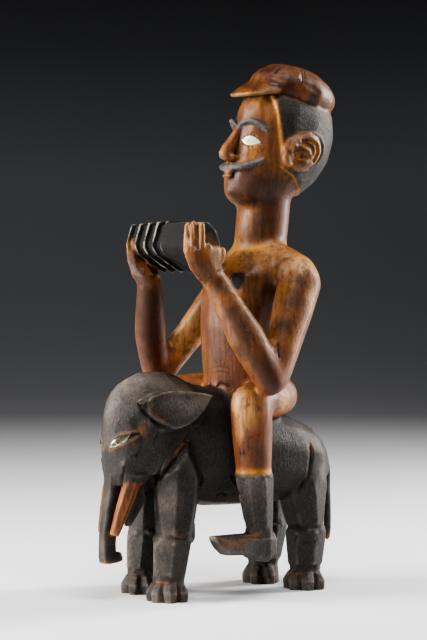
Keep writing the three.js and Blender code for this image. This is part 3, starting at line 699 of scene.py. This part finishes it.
# The same, but cut on both sides of the figure
pairedMarks = {
    "trunkGroove": {"path": [(124.5, 468), (123, 476), (121.5, 486)], "width": 2.2, "depth": 2.2},
    "cheekGroove": {"path": [(197, 428), (187, 443), (178, 455), (169, 467), (160, 478)],
     "width": 3.2, "depth": 2.4},
    "earUndercut": {"path": [(139.5, 405), (145, 413), (152, 420), (160, 424.5), (169, 428)],
     "width": 2.6, "depth": 2.6},
    "eyeTail": {"path": [(128, 437), (134, 434.5), (139, 433.5)], "width": 2.2, "depth": 2.0},
    "earRidge": {"path": [(140, 401), (149, 394.5), (160, 391.8), (176, 392.6), (198, 393.5)],
     "width": 1.6, "depth": -1.2},
    "upperLid": {"path": [(109, 448), (113, 440), (119, 434.5), (127, 432.3), (135, 431.6), (141, 432.5)],
     "width": 1.3, "depth": -0.6},
    "lowerLid": {"path": [(109.5, 450.5), (116, 448.2), (124, 444.5), (132, 440.3), (140, 436)],
     "width": 1.3, "depth": -0.6},
    "kneeLineFront": {"path": [(171.5, 536.3), (178, 538), (185, 539), (192, 539.5)],
     "width": 1.6, "depth": 1.1},
    "kneeLineRear": {"path": [(285.5, 541), (295, 541.5), (306, 541.5), (317, 541), (327, 539.5)],
     "width": 1.8, "depth": 1.0},
    "earRim": {"path": [(290, 164), (298, 170.5), (307, 170.5), (316, 165), (322.5, 155), (323, 145),
                        (320, 137), (313, 133), (304, 135), (296, 141), (290.5, 149)],
     "width": 2.8, "depth": -1.6},
    "earCurl": {"path": [(296, 146), (303, 147.5), (309, 151), (311, 157), (306, 161.5), (299, 160)],
     "width": 2.4, "depth": -2.0},
    "earHollow": {"path": [(303, 140.5), (311, 140), (317, 145), (318, 153), (314, 161)],
     "width": 2.6, "depth": 3.6},
    "earEye": {"path": [(297, 154), (301, 155)], "width": 2.4, "depth": 3.0},
}
# Edges rubbed through to orange wood, both sides: width in mm and how much wood shows
rubbedPaths = {
    "cheekMiddle": {"path": [(187, 441), (181, 447), (176, 452.5)], "width": 1.6, "share": 0.5},
    "cheekLow": {"path": [(176, 452), (169, 462), (160, 475)], "width": 0.9, "share": 0.55},
    "cheekFront": {"path": [(123.5, 471), (121, 484)], "width": 0.9, "share": 0.6},
    "earFront": {"path": [(149, 409), (156, 415), (163, 421.5)], "width": 0.9, "share": 0.55},
    "earTop": {"path": [(140, 401), (149, 394.5), (160, 392.3), (176, 393.5), (198, 394.5)],
     "width": 1.0, "share": 0.4},
    "upperLid": {"path": [(108.7, 449), (113, 440), (119, 434.5), (127, 432), (135, 431), (141.5, 431.5)],
     "width": 1.0, "share": 0.8},
    "lowerLid": {"path": [(109.5, 451), (116, 448.7), (124, 445), (132, 440.8), (140, 436.5)],
     "width": 1.0, "share": 0.8},
    "eyeCorner": {"path": [(138, 430), (142, 433)], "width": 2.4, "share": 0.6},
    "ankleFront": {"path": [(150, 581), (158, 582.5), (167, 583), (176, 583)], "width": 1.4, "share": 0.8},
    "ankleInner": {"path": [(129, 574.5), (136, 574), (142, 577)], "width": 1.3, "share": 0.7},
    "ankleRear": {"path": [(287, 573), (297, 573.5), (310, 573)], "width": 1.2, "share": 0.6},
    "kneeFront": {"path": [(172, 535.8), (181, 537.5), (190, 538)], "width": 1.0, "share": 0.7},
    "bootAnkle": {"path": [(244, 535), (250, 536), (257, 535)], "width": 3.2, "share": 0.9},
    "shoeTop": {"path": [(222, 540), (232, 543), (242, 541)], "width": 1.5, "share": 0.7},
    "haunch": {"path": [(312, 441), (313, 450), (310, 466), (306, 479)], "width": 1.2, "share": 0.6},
    "haunchLow": {"path": [(272, 503), (284, 500.5), (294, 495)], "width": 1.2, "share": 0.6},
}
# Dark stains and pale rubbed places on the skin, partly painted shade and painted highlights: pixel, radius
# in mm, strength (below 0 is pale)
stainShadeAndHighlightValues = [
    ((219, 287), 13, 0.8), ((232, 312), 12, 0.7), ((244, 330), 13, 0.9), ((252, 352), 15, 0.8),
    ((264, 372), 15, 1.0), ((273, 390), 12, 1.0), ((205, 266), 15, 0.7), ((262, 290), 24, 0.9),
    ((268, 320), 20, 1.0), ((250, 262), 14, 0.5), ((146, 300), 20, 1.0), ((147, 330), 20, 1.0),
    ((146, 356), 18, 0.8), ((264, 222), 16, 0.9), ((252, 236), 12, 0.6), ((285, 325), 13, 0.9),
    ((290, 300), 12, 0.6), ((236, 186), 26, 0.8), ((262, 190), 26, 1.0), ((285, 185), 14, 0.8),
    ((240, 352), 10, 0.6), ((232, 425), 9, 0.3), ((256, 452), 16, 0.6), ((262, 465), 12, 0.7),
    ((283, 420), 9, 0.6), ((133, 262), 10, 0.8), ((138, 276), 12, 0.9), ((232, 250), 14, -0.8),
    ((300, 262), 15, -0.9), ((312, 300), 12, -0.5), ((246, 408), 18, -0.9), ((242, 432), 10, -0.5),
    ((286, 400), 14, -0.6), ((190, 335), 22, -1.0), ((178, 350), 16, -0.9), ((190, 385), 22, -0.9),
    ((258, 300), 8, -0.4), ((240, 100), 18, -0.7), ((250, 212), 10, -0.6), ((185, 240), 8, -0.5),
    ((270, 250), 16, -0.5), ((232, 440), 9, -0.4), ((255, 285), 7, -0.5), ((238, 322), 22, 0.5),
    ((224, 340), 18, 0.45), ((222, 335), 20, 0.6), ((215, 360), 18, 0.5), ((178, 322), 20, 0.5),
    ((170, 345), 18, 0.4), ((150, 312), 28, 0.8), ((236, 398), 12, -0.6), ((222, 374), 16, 0.4),
    ((272, 432), 14, 0.5),
]
# Black paint worn to grey, partly painted highlights on lit places, both sides: pixel, radius in mm, share
wornAndHighlightValues = [
    ((122, 384), 22, 0.8), ((106, 410), 16, 0.7), ((140, 378), 18, 0.7), ((165, 380), 18, 0.5),
    ((190, 388), 18, 0.5), ((205, 400), 12, 0.9), ((190, 408), 10, 0.6), ((176, 404), 20, 0.5),
    ((108, 440), 12, 0.3), ((104, 500), 9, 0.4), ((100, 545), 9, 0.4), ((166, 500), 16, 0.6),
    ((158, 540), 14, 0.6), ((156, 570), 12, 0.5), ((160, 600), 13, 0.7), ((133, 590), 11, 0.7),
    ((300, 430), 16, 0.5), ((318, 445), 14, 0.6), ((322, 470), 12, 0.6), ((300, 590), 12, 0.5),
    ((253, 480), 20, 0.5), ((250, 545), 14, 0.5), ((230, 548), 12, 0.5), ((262, 590), 11, 0.4),
]
# Cuts made with a fine blade: both ends in pixels, width and depth in mm
bladeValues = {
    "capCrackFront": {"ends": [(281, 67.5), (275, 73.5)], "width": 1.4, "depth": 4},
    "capSlotLong": {"ends": [(301.3, 71), (301.9, 85.5)], "width": 2.2, "depth": 6},
    "capSlotThin": {"ends": [(303.6, 70.5), (304.8, 79)], "width": 1.2, "depth": 4},
    "wormHoleFront": {"ends": [(240.3, 453.5), (241.2, 454)], "width": 1.3, "depth": 4},
    "wormHoleRear": {"ends": [(243.4, 454), (244.3, 454.3)], "width": 1.3, "depth": 4},
}
# The groove that sets the haunch off the flank, in the drawing's mm, cut on both sides
haunchGroove = {
    "path": [(61, 97, 184, 0), (62, 97, 165, 0), (60, 92, 143, 0), (60, 78, 124, 0), (60, 56, 113, 0)],
    "width": 3.6, "depth": 2.8,
}
photoSize = (427, 640)


def cameraRay(pixel):  # from the photograph's pixel into the scene
    camera = bpy.context.scene.camera
    focal = camera.data.lens / camera.data.sensor_width * photoSize[1]
    ray = Vector((pixel[0] - photoSize[0] / 2, photoSize[1] / 2 - pixel[1], -focal))
    return camera.location.copy(), (camera.rotation_euler.to_matrix() @ ray).normalized()


def onSurface(tree, pixel):
    eye, ray = cameraRay(pixel)
    place, normal, _, _ = tree.ray_cast(eye, ray)
    if place is None:  # just past the outline
        place, normal, _, _ = tree.find_nearest(eye + ray * eye.xy.length)
    return np.array(place) / mm - cadShift, np.array(normal)


def pathOn(tree, pixels):
    return [(*onSurface(tree, pixel)[0], 0) for pixel in pixels]


markEdge = 1.5  # how steep the sides of a mark are


def addMarks(skin, tree):
    heights = np.zeros(len(skin.points))

    def press(chain, width, depth):
        heights[:] -= depth * np.exp(-((capsules(skin.points, chain) / width) ** 2) * markEdge)

    for mark in markValues.values():
        press(pathOn(tree, mark["path"]), mark["width"], mark["depth"])
    for mark in pairedMarks.values():
        chain = pathOn(tree, mark["path"])
        press(chain, mark["width"], mark["depth"])
        press(mirror(chain), mark["width"], mark["depth"])
    for chain in (haunchGroove["path"], mirror(haunchGroove["path"])):
        press(chain, haunchGroove["width"], haunchGroove["depth"])
    skin.raiseBy(heights, skin.normals(3))


# The cutter is a wedge: its low edge is this much thinner and shorter, and the whole a little over length
bladeShape = {"thin": 0.3, "short": 0.8, "over": 1.05}


def blade(tree, ends, width, depth):  # a cutter that stands on the surface from one end to the other
    (start, facing), (end, _) = (onSurface(tree, pixel) for pixel in ends)
    along = Vector(end - start)
    across = Vector(facing).cross(along).normalized()
    up = along.cross(across).normalized()
    if up.dot(Vector(facing)) < 0:
        up.negate()
    axes = Matrix((along.normalized(), across, up)).transposed()
    place = Vector((start + end) / 2 + cadShift) * mm
    size = Vector((along.length * bladeShape["over"], width, depth * 2)) * mm
    shape = bmesh.new()
    bmesh.ops.create_cube(shape, size=1)
    for corner in shape.verts:
        if corner.co.z < 0:
            corner.co.y *= bladeShape["thin"]
            corner.co.x *= bladeShape["short"]
        corner.co = axes @ (corner.co * size) + place
    bmesh.ops.recalc_face_normals(shape, faces=shape.faces)
    return meshFrom(shape, "blade")


def cut(piece, cutter):
    tool = linked("cutter", cutter)
    step = piece.modifiers.new("cut", "BOOLEAN")
    step.operation, step.solver, step.object = "DIFFERENCE", "MANIFOLD", tool
    applied(piece, "carvedFigure")
    bpy.data.objects.remove(tool)
    bpy.data.meshes.remove(cutter)


plateFacing = {"rider": (0.33, -0.91, 0.244), "elephant": (0.523, -0.853, 0)}


def almondPrism(name, grow):  # the inlay's outline carried straight out through the surface
    plug = mergedNode(name)
    middle = sum((corner.co for corner in plug.verts), Vector()) / len(plug.verts)
    x, y, z = plateFacing[name.split("_")[0]]
    outward = Vector((math.copysign(x, middle.x), y, z))
    for corner in plug.verts:
        sideways = corner.normal - outward * corner.normal.dot(outward)
        corner.co += sideways * grow * mm
        if (corner.co - middle).dot(outward) > 0:
            corner.co += outward * carvingValues["plateReach"] * mm
    return meshFrom(plug, name + "Prism")


def eyePlates(skin, values):  # each plate follows the rounded head, a little proud of it
    flush = skin.points
    skin.raiseBy(np.full(len(flush), values["plateRise"]), skin.normals(2))
    skin.store()
    raised = linked("raised", skin.mesh.copy())
    skin.points = flush
    skin.store()
    plates = {}
    for name in eyeNodes:
        plate = linked(name + "_plate", almondPrism(name, 0.0))
        step = plate.modifiers.new("trim", "BOOLEAN")
        step.operation, step.solver, step.object = "INTERSECT", "MANIFOLD", raised
        applied(plate, name + "_plate")
        plates[name] = plate
    mesh = raised.data
    bpy.data.objects.remove(raised)
    bpy.data.meshes.remove(mesh)
    return plates


# Where the adze's flats lie, and what is left out of them
adzeRows = {
    "head": {"behind": (-far, 4), "z": (152, far), "eyeGap": (24, far)},
    "earLeaf": {"z": (206, 252), "side": (46, far), "y": (-138, -46)},
    "hair": {"hairDepth": (3, far), "z": (492, far)},
    "riderEar": {"z": (508, 576), "side": (42, far), "y": (56, 124)},
}


def adzeWeights(skin, values):
    owner = parts(skin.points)
    places = placesOf(skin.points)
    folded = np.stack([places["side"], places["y"], places["z"]], 1)
    places["behind"] = places["y"] - curveAt(places["z"], bodyPlaces["headBack"])
    places["eyeGap"] = np.linalg.norm(folded - np.array(bodyPlaces["elephantEye"]), axis=1)
    places["hairDepth"] = owner["backOfHair"]
    head, earLeaf, hair, riderEar = (within(places, row) for row in adzeRows.values())
    regions = (head & owner["beast"] & ~earLeaf, hair & ~owner["cap"] & ~riderEar)
    return [soft(skin.smoothed(region.astype(float), values["regionRounds"]), *values["regionEdge"])
            for region in regions]


def carve(values):
    piece = carvingBlock(values)
    skin = Skin(piece.data)
    print("block of", len(skin.points), "points")
    rounded(skin, values)
    print("forms rounded")
    headWeight, hairWeight = adzeWeights(skin, values)
    skin.store()
    tree = treeOf(piece)
    seeds, out = (np.array(column) for column in zip(*(onSurface(tree, pixel) for pixel in headFlats)))
    flip = np.array([-1, 1, 1])
    bothSides = np.concatenate([seeds, seeds * flip]), np.concatenate([out, out * flip])
    adze(skin, headWeight, lambda *_: bothSides, adzeValues, adzeValues["headDepth"])
    strew = adzeValues["hairSize"], adzeValues["hairSeed"], values["voxel"]
    adze(skin, hairWeight, lambda *region: strewn(*region, *strew), adzeValues, adzeValues["hairDepth"])
    planeFlats(skin, flatLimits)
    print("adze facets planed")
    skin.store()
    plates = eyePlates(skin, values)
    tree = treeOf(piece)
    addMarks(skin, tree)
    skin.store()
    for cutValues in bladeValues.values():
        cut(piece, blade(tree, **cutValues))
    for name in eyeNodes:
        cut(piece, almondPrism(name, values["socketGrow"]))
    print("marks and sockets cut")
    paintMasks(piece.data, tree, maskValues)
    thin = piece.modifiers.new("thin", "DECIMATE")
    thin.ratio = min(1.0, values["faces"] / sum(len(face.vertices) - 2 for face in piece.data.polygons))
    applied(piece, "carvedFigure")
    Skin(piece.data).store()
    piece.data.shade_smooth()
    print("carving has", len(piece.data.polygons), "faces")
    return piece, plates


# Where the colours lie on the skin, in the drawing's mm
maskValues = {
    "box": {"z": (384, far), "x": (-92.5, 71.5), "y": (-82, -27), "handGap": (1, far), "armGap": (2, far)},
    "faceMarks": {"z": (470, far), "headY": (-far, -40), "faceGap": (-far, 0.9)},
    "toes": {"z": (-far, 27)},
    # dip, broadDip and slotDark set the painted shade in hollows and cut slots; earHollow and leafHollow the
    # share of it left inside the ears
    "ridgeReach": 2.8, "ridge": (0.2, 1.0), "dip": (0.12, 0.8), "broadReach": 5.5, "broadDip": (0.6, 2.9),
    "slotDark": (0.6, 1.8), "slotBare": (2, 6),
    "hairFade": (1.6, 3.2), "earHollow": 0.4, "leafHollow": 0.15, "toeGaps": 0.45,
}
# The pocket's shield: its half width at heights over its middle
pocketShield = {
    "middle": (36, 6, 384), "turn": 0.72, "depth": 12, "heights": (-13, 9.6), "back": 0.2,
    "half": [(-13, 0), (-8, 5.5), (-2, 9), (6, 11), (9, 10)],
}
# Ovals: middle, half sizes and how far they lean
ovals = {
    "ear": {"middle": (49, 91, 542), "half": (11, 30, 25), "lean": 0.3},
    "sideburn": {"middle": (51, 66, 531), "half": (8, 7, 12), "lean": 0},
    "inEar": {"middle": (52, 91, 542), "half": (14, 23, 25), "lean": 0.3},
    "inLeaf": {"middle": (58, -93, 231), "half": (16, 46, 22), "lean": 0},
}
# Bands where the paint is thin and ochre shows, and a painted highlight along the hair's edge: width in mm
# and strength
bandValues = {
    "neck": {"z": 426, "y": 61, "slope": 0.1, "width": 3.0, "reach": 40},
    "bootTop": {"z": 156, "side": 60, "width": 3.2},
    "hair": {"width": 1.4, "share": 0.7},
}


def bell(gap, width):  # 1 in the middle, and soft towards the width
    return np.exp(-((gap / width) ** 2))


def clouds(points, tree, table):  # soft spots round pixels, added up
    total = np.zeros(len(points))
    for pixel, radius, share in table:
        total += bell(np.linalg.norm(points - onSurface(tree, pixel)[0], axis=1), radius) * share
    return total


def inOval(folded, name):
    middle, half, lean = ovals[name].values()
    turn = np.array(Matrix.Rotation(-lean, 3, "X"))
    return np.linalg.norm(((folded - middle) @ turn.T) / half, axis=1) < 1


def inPocket(points, normals):  # the painted shield on the chest
    turn = np.array(Matrix.Rotation(-pocketShield["turn"], 3, "Z"))
    across, through, up = turn @ (points - np.array(pocketShield["middle"])).T
    half = curveAt(up, pocketShield["half"])
    low, high = pocketShield["heights"]
    inside = (np.abs(across) < half) & (up > low) & (up < high) & (np.abs(through) < pocketShield["depth"])
    return inside & (normals[:, 1] < pocketShield["back"])


def ochreBands(places, owner, bald):
    neck, bootTop, hair = bandValues.values()
    z, y = places["z"], places["y"]
    rise = z - neck["z"] - (y - neck["y"]) * neck["slope"]
    return np.maximum.reduce([
        bell(rise, neck["width"]) * (np.hypot(places["x"], y - neck["y"]) < neck["reach"]),
        bell(z - bootTop["z"], bootTop["width"]) * (places["side"] > bootTop["side"]) * ~owner["beast"],
        # along the hair's edge: a painted highlight, an ochre lit step
        np.where(bald, 0, bell(owner["backOfHair"], hair["width"]) * hair["share"]),
    ])


def paintMasks(mesh, tree, values):
    skin = Skin(mesh)
    points, normals = skin.points, skin.normals(1)
    owner, places = parts(points), placesOf(points)
    folded = np.stack([places["side"], places["y"], places["z"]], 1)
    _, places["headY"], places["headZ"] = inHead(points).T
    places["handGap"] = handDistance(points)
    arms = (bodyPlaces["leftArm"], bodyPlaces["rightArm"])
    places["armGap"] = np.min([capsules(points, arm) for arm in arms], axis=0)
    places["faceGap"] = markDistance(points)

    # ridges are worn and lighter, partly a painted highlight; hollows and slots are darkened as painted shade
    reaches = (values["ridgeReach"], values["broadReach"])
    means = (skin.smoothed(points, roundsFor(reach, carvingValues)) for reach in reaches)
    rise, broad = (((points - mean) * normals).sum(1) for mean in means)
    rise = skin.smoothed(rise, 1)
    slots = np.min([capsules(points, pathOn(tree, slot["ends"])) for slot in bladeValues.values()], axis=0)
    dips = soft(-rise, *values["dip"]), soft(-broad, *values["broadDip"])
    hollowShade = np.maximum.reduce([*dips, 1 - soft(slots, *values["slotDark"])])
    inEar, inLeaf = inOval(folded, "inEar"), inOval(folded, "inLeaf")
    # ridges rubbed lighter, partly a painted highlight; none next to the cut slots
    skin.paint("wearAndHighlight", soft(rise, *values["ridge"]) * soft(slots, *values["slotBare"]))
    # less painted shade inside the rider's ear and the elephant's ear leaf
    shadeShare = np.where(inEar, values["earHollow"], np.where(inLeaf, values["leafHollow"], 1))
    skin.paint("hollowShade", hollowShade * shadeShare)

    # who is painted what
    bald = inOval(folded, "ear") | inOval(folded, "sideburn") | owner["cap"]
    hair = np.where(bald, 0, soft(owner["backOfHair"], *values["hairFade"]))
    boxed = within(places, values["box"]) | inPocket(points, normals)
    painted = {
        "black": np.maximum.reduce([owner["beast"] & ~owner["tusk"], owner["boots"], boxed, hair]),
        "boxed": boxed, "grey": within(places, values["faceMarks"]),
        "tusk": owner["tusk"], "cap": owner["cap"], "ear": inEar,
    }
    for name, mask in painted.items():
        skin.paint(name, skin.smoothed(mask.astype(float), 1))
    skin.paint("ochre", np.maximum(ochreBands(places, owner, bald), np.where(inEar, hollowShade, 0)))

    # bare edges, grey worn paint with painted highlights, stains with painted shade, and pale rubbed places
    # with painted highlights
    rubbed = np.where(within(places, values["toes"]) & owner["beast"], hollowShade * values["toeGaps"], 0)
    for edge in rubbedPaths.values():
        gap = capsules(folded, pathOn(tree, edge["path"]))
        rubbed = np.maximum(rubbed, bell(gap, edge["width"]) * edge["share"])
    skin.paint("rubbedEdge", rubbed)
    # grey worn paint and painted highlights on the black
    skin.paint("wornAndHighlight", clouds(folded, tree, wornAndHighlightValues))
    # the stain mask holds dark stains and painted shade, the pale mask pale rubbed places and painted
    # highlights
    stain = clouds(points, tree, stainShadeAndHighlightValues)
    skin.paint("stain", stain)
    skin.paint("pale", -stain)


# The wood's bare and stained skin, the reddish cap, the tusks, and the black paint with what shows through
# it; painted shade in hollows and painted highlights on ridges and lit places
woodColours = {
    "golden": (0.33, 0.14, 0.036), "redBrown": (0.17, 0.062, 0.026), "lowRed": (0.24, 0.075, 0.026),
    "stain": (0.055, 0.024, 0.015), "pale": (0.56, 0.3, 0.115), "grainDark": (0.06, 0.022, 0.011),
    "rubbed": (0.5, 0.27, 0.1), "patinaAndShade": (0.014, 0.008, 0.006),
    "ochre": (0.5, 0.24, 0.045), "capRed": (0.2, 0.072, 0.018), "capDark": (0.06, 0.019, 0.008),
    "tuskLight": (0.28, 0.1, 0.032), "tuskDark": (0.08, 0.026, 0.011), "soot": (0.0125, 0.011, 0.0095),
    "sootGrey": (0.062, 0.053, 0.045), "sootDeep": (0.004, 0.004, 0.004), "bareOrange": (0.33, 0.115, 0.03),
    "bareGreyAndHighlight": (0.3, 0.26, 0.21), "greyPaint": (0.17, 0.155, 0.145), "sootWornAndHighlight": (0.21, 0.182, 0.155),
}
noiseValues = {
    "patches": {"size": 60, "detail": 5, "roughness": 0.6, "stretch": (1, 1, 0.6)},
    "blotches": {"size": 18, "detail": 5, "roughness": 0.65, "stretch": (1, 1, 0.5)},
    "grain": {"size": 6, "detail": 4, "roughness": 0.65, "stretch": (1, 1, 0.08), "distortion": 0.4},
    "speckle": {"size": 3, "detail": 4, "roughness": 0.65},
    "scuffs": {"size": 14, "detail": 6, "roughness": 0.72},
    "pits": {"size": 2.2, "detail": 2, "roughness": 0.5},
    "scratches": {"size": 1.8, "detail": 5, "roughness": 0.75, "stretch": (1, 1, 0.3), "distortion": 0.6},
    "dust": {"size": 1.3, "detail": 4, "roughness": 0.8},
}
# The masks that paintMasks puts on the mesh
maskNames = (
    "black", "grey", "tusk", "cap", "boxed", "ear", "wearAndHighlight", "hollowShade", "ochre", "rubbedEdge",
    "wornAndHighlight", "stain", "pale",
)


def makeWood():
    wood = Shader("carvedWood")
    black, grey, tusk, cap, boxed, ear, wearAndHighlight, hollowShade, ochre, rubbed, wornAndHighlight, stain, pale = (
        wood.attribute(name) for name in maskNames)
    patches, blotches, grain, speckle, scuffs, pits, scratches, dust = (
        wood.noise(**values) for values in noiseValues.values())
    height = wood.add("ShaderNodeSeparateXYZ", None, {"Vector": wood.place()}, out="Z")

    # bare wood: golden to red-brown, redder low down, with pale places and painted highlights, stained places
    # and painted shade, grain, scuffs and pits
    skin = wood.mix(patches.between(0.36, 0.62), woodColours["golden"], woodColours["redBrown"])
    skin = wood.mix((1 - height.between(0.2, 0.37)) * 0.75, skin, woodColours["lowRed"])
    # pale rubbed places and painted highlights, and ridges lighter, partly a painted highlight
    paleRubAndHighlight = pale * 1.6 * blotches.between(0.2, 0.55) + wearAndHighlight * 0.5
    skin = wood.mix(paleRubAndHighlight.clamp(), skin, woodColours["pale"])
    # dark stains and painted shade
    stainAndShade = stain * (blotches.between(0.22, 0.6) * 0.9 + 0.35)
    skin = wood.mix(stainAndShade.clamp() * 0.85, skin, woodColours["stain"])
    skin = wood.mix(grain.between(0.42, 0.7) * 0.65, skin, woodColours["grainDark"])
    skin = wood.mix(scuffs.between(0.5, 0.68) * 0.65, skin, woodColours["stain"])
    skin = wood.mix(scratches.between(0.56, 0.7) * 0.45, skin, woodColours["stain"])
    # painted shade in the hollows, and dark patina in the pits
    skin = wood.mix((hollowShade * 0.95 + pits.between(0.66, 0.74) * 0.5).clamp(), skin, woodColours["patinaAndShade"])
    # the cap and the ears are redder, and some edges ochre
    red = wood.mix(blotches.between(0.4, 0.62), woodColours["capRed"], woodColours["capDark"])
    red = wood.mix(grain.between(0.4, 0.7) * 0.45, red, woodColours["grainDark"])
    red = wood.mix(scuffs.between(0.45, 0.66) * 0.8, red, woodColours["stain"])
    # ridges rubbed lighter, partly a painted highlight
    red = wood.mix(wearAndHighlight * 0.5, red, woodColours["rubbed"])
    # painted shade in the hollows of the cap and ears
    red = wood.mix(hollowShade, red, woodColours["patinaAndShade"])
    skin = wood.mix((cap + ear * 0.85).clamp(), skin, red)
    skin = wood.mix(ochre * (speckle.between(0.25, 0.6) * 0.6 + 0.4), skin, woodColours["ochre"])
    # tusks
    horn = wood.mix(grain.between(0.35, 0.65), woodColours["tuskLight"], woodColours["tuskDark"])
    # ridges rubbed lighter, partly a painted highlight
    horn = wood.mix(wearAndHighlight * 0.7, horn, woodColours["rubbed"])
    # painted shade in the tusks' hollows
    horn = wood.mix(hollowShade * 0.8, horn, woodColours["patinaAndShade"])
    # black paint, dusty grey where it is worn and grey as painted highlights, deepest black as painted shade
    # in hollows, and through to the wood at the edges
    powder = dust * 0.45 + scratches * 0.4 + scuffs * 0.15
    paint = wood.mix(powder.between(0.4, 0.62), woodColours["soot"], woodColours["sootGrey"])
    # grey where the paint is worn and where a painted highlight lies
    paint = wood.mix(wornAndHighlight * powder.between(0.36, 0.56), paint, woodColours["sootWornAndHighlight"])
    # ridges worn to grey, partly a painted highlight
    paint = wood.mix(wearAndHighlight * scuffs.between(0.3, 0.6) * 0.8, paint, woodColours["sootWornAndHighlight"])
    paint = wood.mix(boxed * 0.95, paint, woodColours["sootDeep"])
    # painted shade: the black paint is deepest black in the hollows
    paint = wood.mix(hollowShade * 0.85, paint, woodColours["sootDeep"])
    # bare edges: orange wood, and light grey on the box's rib edges, worn and partly a painted highlight
    edge = wood.mix(boxed, woodColours["bareOrange"], woodColours["bareGreyAndHighlight"])
    bare = wearAndHighlight.between(0.55, 1.0) * (boxed * scuffs.between(0.35, 0.6) + scuffs.between(0.5, 0.62))
    bare = bare + rubbed * (scuffs.between(0.3, 0.55) * 0.6 + 0.4)
    paint = wood.mix(bare.clamp(), paint, edge)
    fleck = speckle.between(0.62, 0.69) * blotches.between(0.48, 0.6) * (1 - boxed)
    paint = wood.mix(fleck * 0.8, paint, woodColours["bareOrange"])
    colour = wood.mix(black, skin, paint)
    colour = wood.mix(tusk, colour, horn)
    hairPaint = wood.mix(speckle.between(0.3, 0.7), woodColours["greyPaint"], woodColours["sootGrey"])
    colour = wood.mix(grey, colour, hairPaint)

    # paint is matt, wood is polished
    matt = (black + grey).clamp()
    polished = grain * 0.2 + scuffs * 0.34 + 0.2 + stain * 0.06
    dull = scuffs * 0.3 + speckle * 0.2 + 0.26 + boxed * 0.2
    roughness = polished * (1 - matt) + dull * matt + hollowShade * 0.2
    pores = wood.bump(grain + pits.between(0.5, 0.7) * -0.5 + scratches * 0.5, 0.45, 0.45)
    tool = wood.bump((speckle * 0.8 + scuffs + powder * 0.8) * (matt * 0.65 + 0.35), 0.7, 1.0, normal=pores)
    return wood.finish(Base_Color=colour, Roughness=roughness.clamp(), Normal=tool,
                       Coat_Weight=(1 - matt) * 0.06, Specular_IOR_Level=0.36)


figure, plates = carve(carvingValues)
figure.data.materials.clear()
figure.data.materials.append(makeWood())
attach(figure, "root")
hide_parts("carving")


# Inlays: pale plates with a grey iris for the rider, mirror glass for the elephant
inlayValues = {
    "pale": (0.66, 0.7, 0.55), "stain": (0.2, 0.24, 0.17), "iris": (0.1, 0.13, 0.1), "irisRadius": 2.7,
    "irisEdge": (0.8, 1.2),
    "glass": (0.5, 0.47, 0.34), "glassDark": (0.07, 0.062, 0.042),
}


def makePaleInlay(name, values):
    middle = np.array(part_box(name)).mean(axis=0)
    shader = Shader("paleInlay_" + name)
    coords = shader.add("ShaderNodeTexCoord", out="Object")
    centred = shader.add("ShaderNodeVectorMath", {"operation": "MULTIPLY"}, {0: coords, 1: (1, 0, 1)})
    ends = {0: centred, 1: (middle[0], 0, middle[2])}
    gap = shader.add("ShaderNodeVectorMath", {"operation": "DISTANCE"}, ends, out="Value")
    blot = shader.noise(2.5, detail=4)
    colour = shader.mix(blot.between(0.45, 0.75) * 0.5, values["pale"], values["stain"])
    inner, outer = (values["irisRadius"] * edge * mm for edge in values["irisEdge"])
    disc = 1 - gap.between(inner, outer)
    colour = shader.mix(disc * 0.8, colour, values["iris"])
    relief = shader.bump(blot, 0.2, 0.3)
    return shader.finish(Base_Color=colour, Roughness=0.3, Normal=relief, Coat_Weight=0.4)


def makeGlass(values):
    shader = Shader("mirrorGlass")
    blot = shader.noise(8, detail=3, roughness=0.6)
    colour = shader.mix(blot.between(0.42, 0.6), values["glass"], values["glassDark"])
    relief = shader.bump(blot, 0.15, 0.4)
    return shader.finish(Base_Color=colour, Metallic=0.85, Roughness=0.14, Normal=relief)


glass = makeGlass(inlayValues)
for name, plate in plates.items():
    plate.data.materials.clear()
    plate.data.materials.append(makePaleInlay(name, inlayValues) if "rider" in name else glass)
    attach(plate, "root")
    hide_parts(name)
    "pale_inlay" if "rider" in name else "mirror_inlay"
print("inlays set")
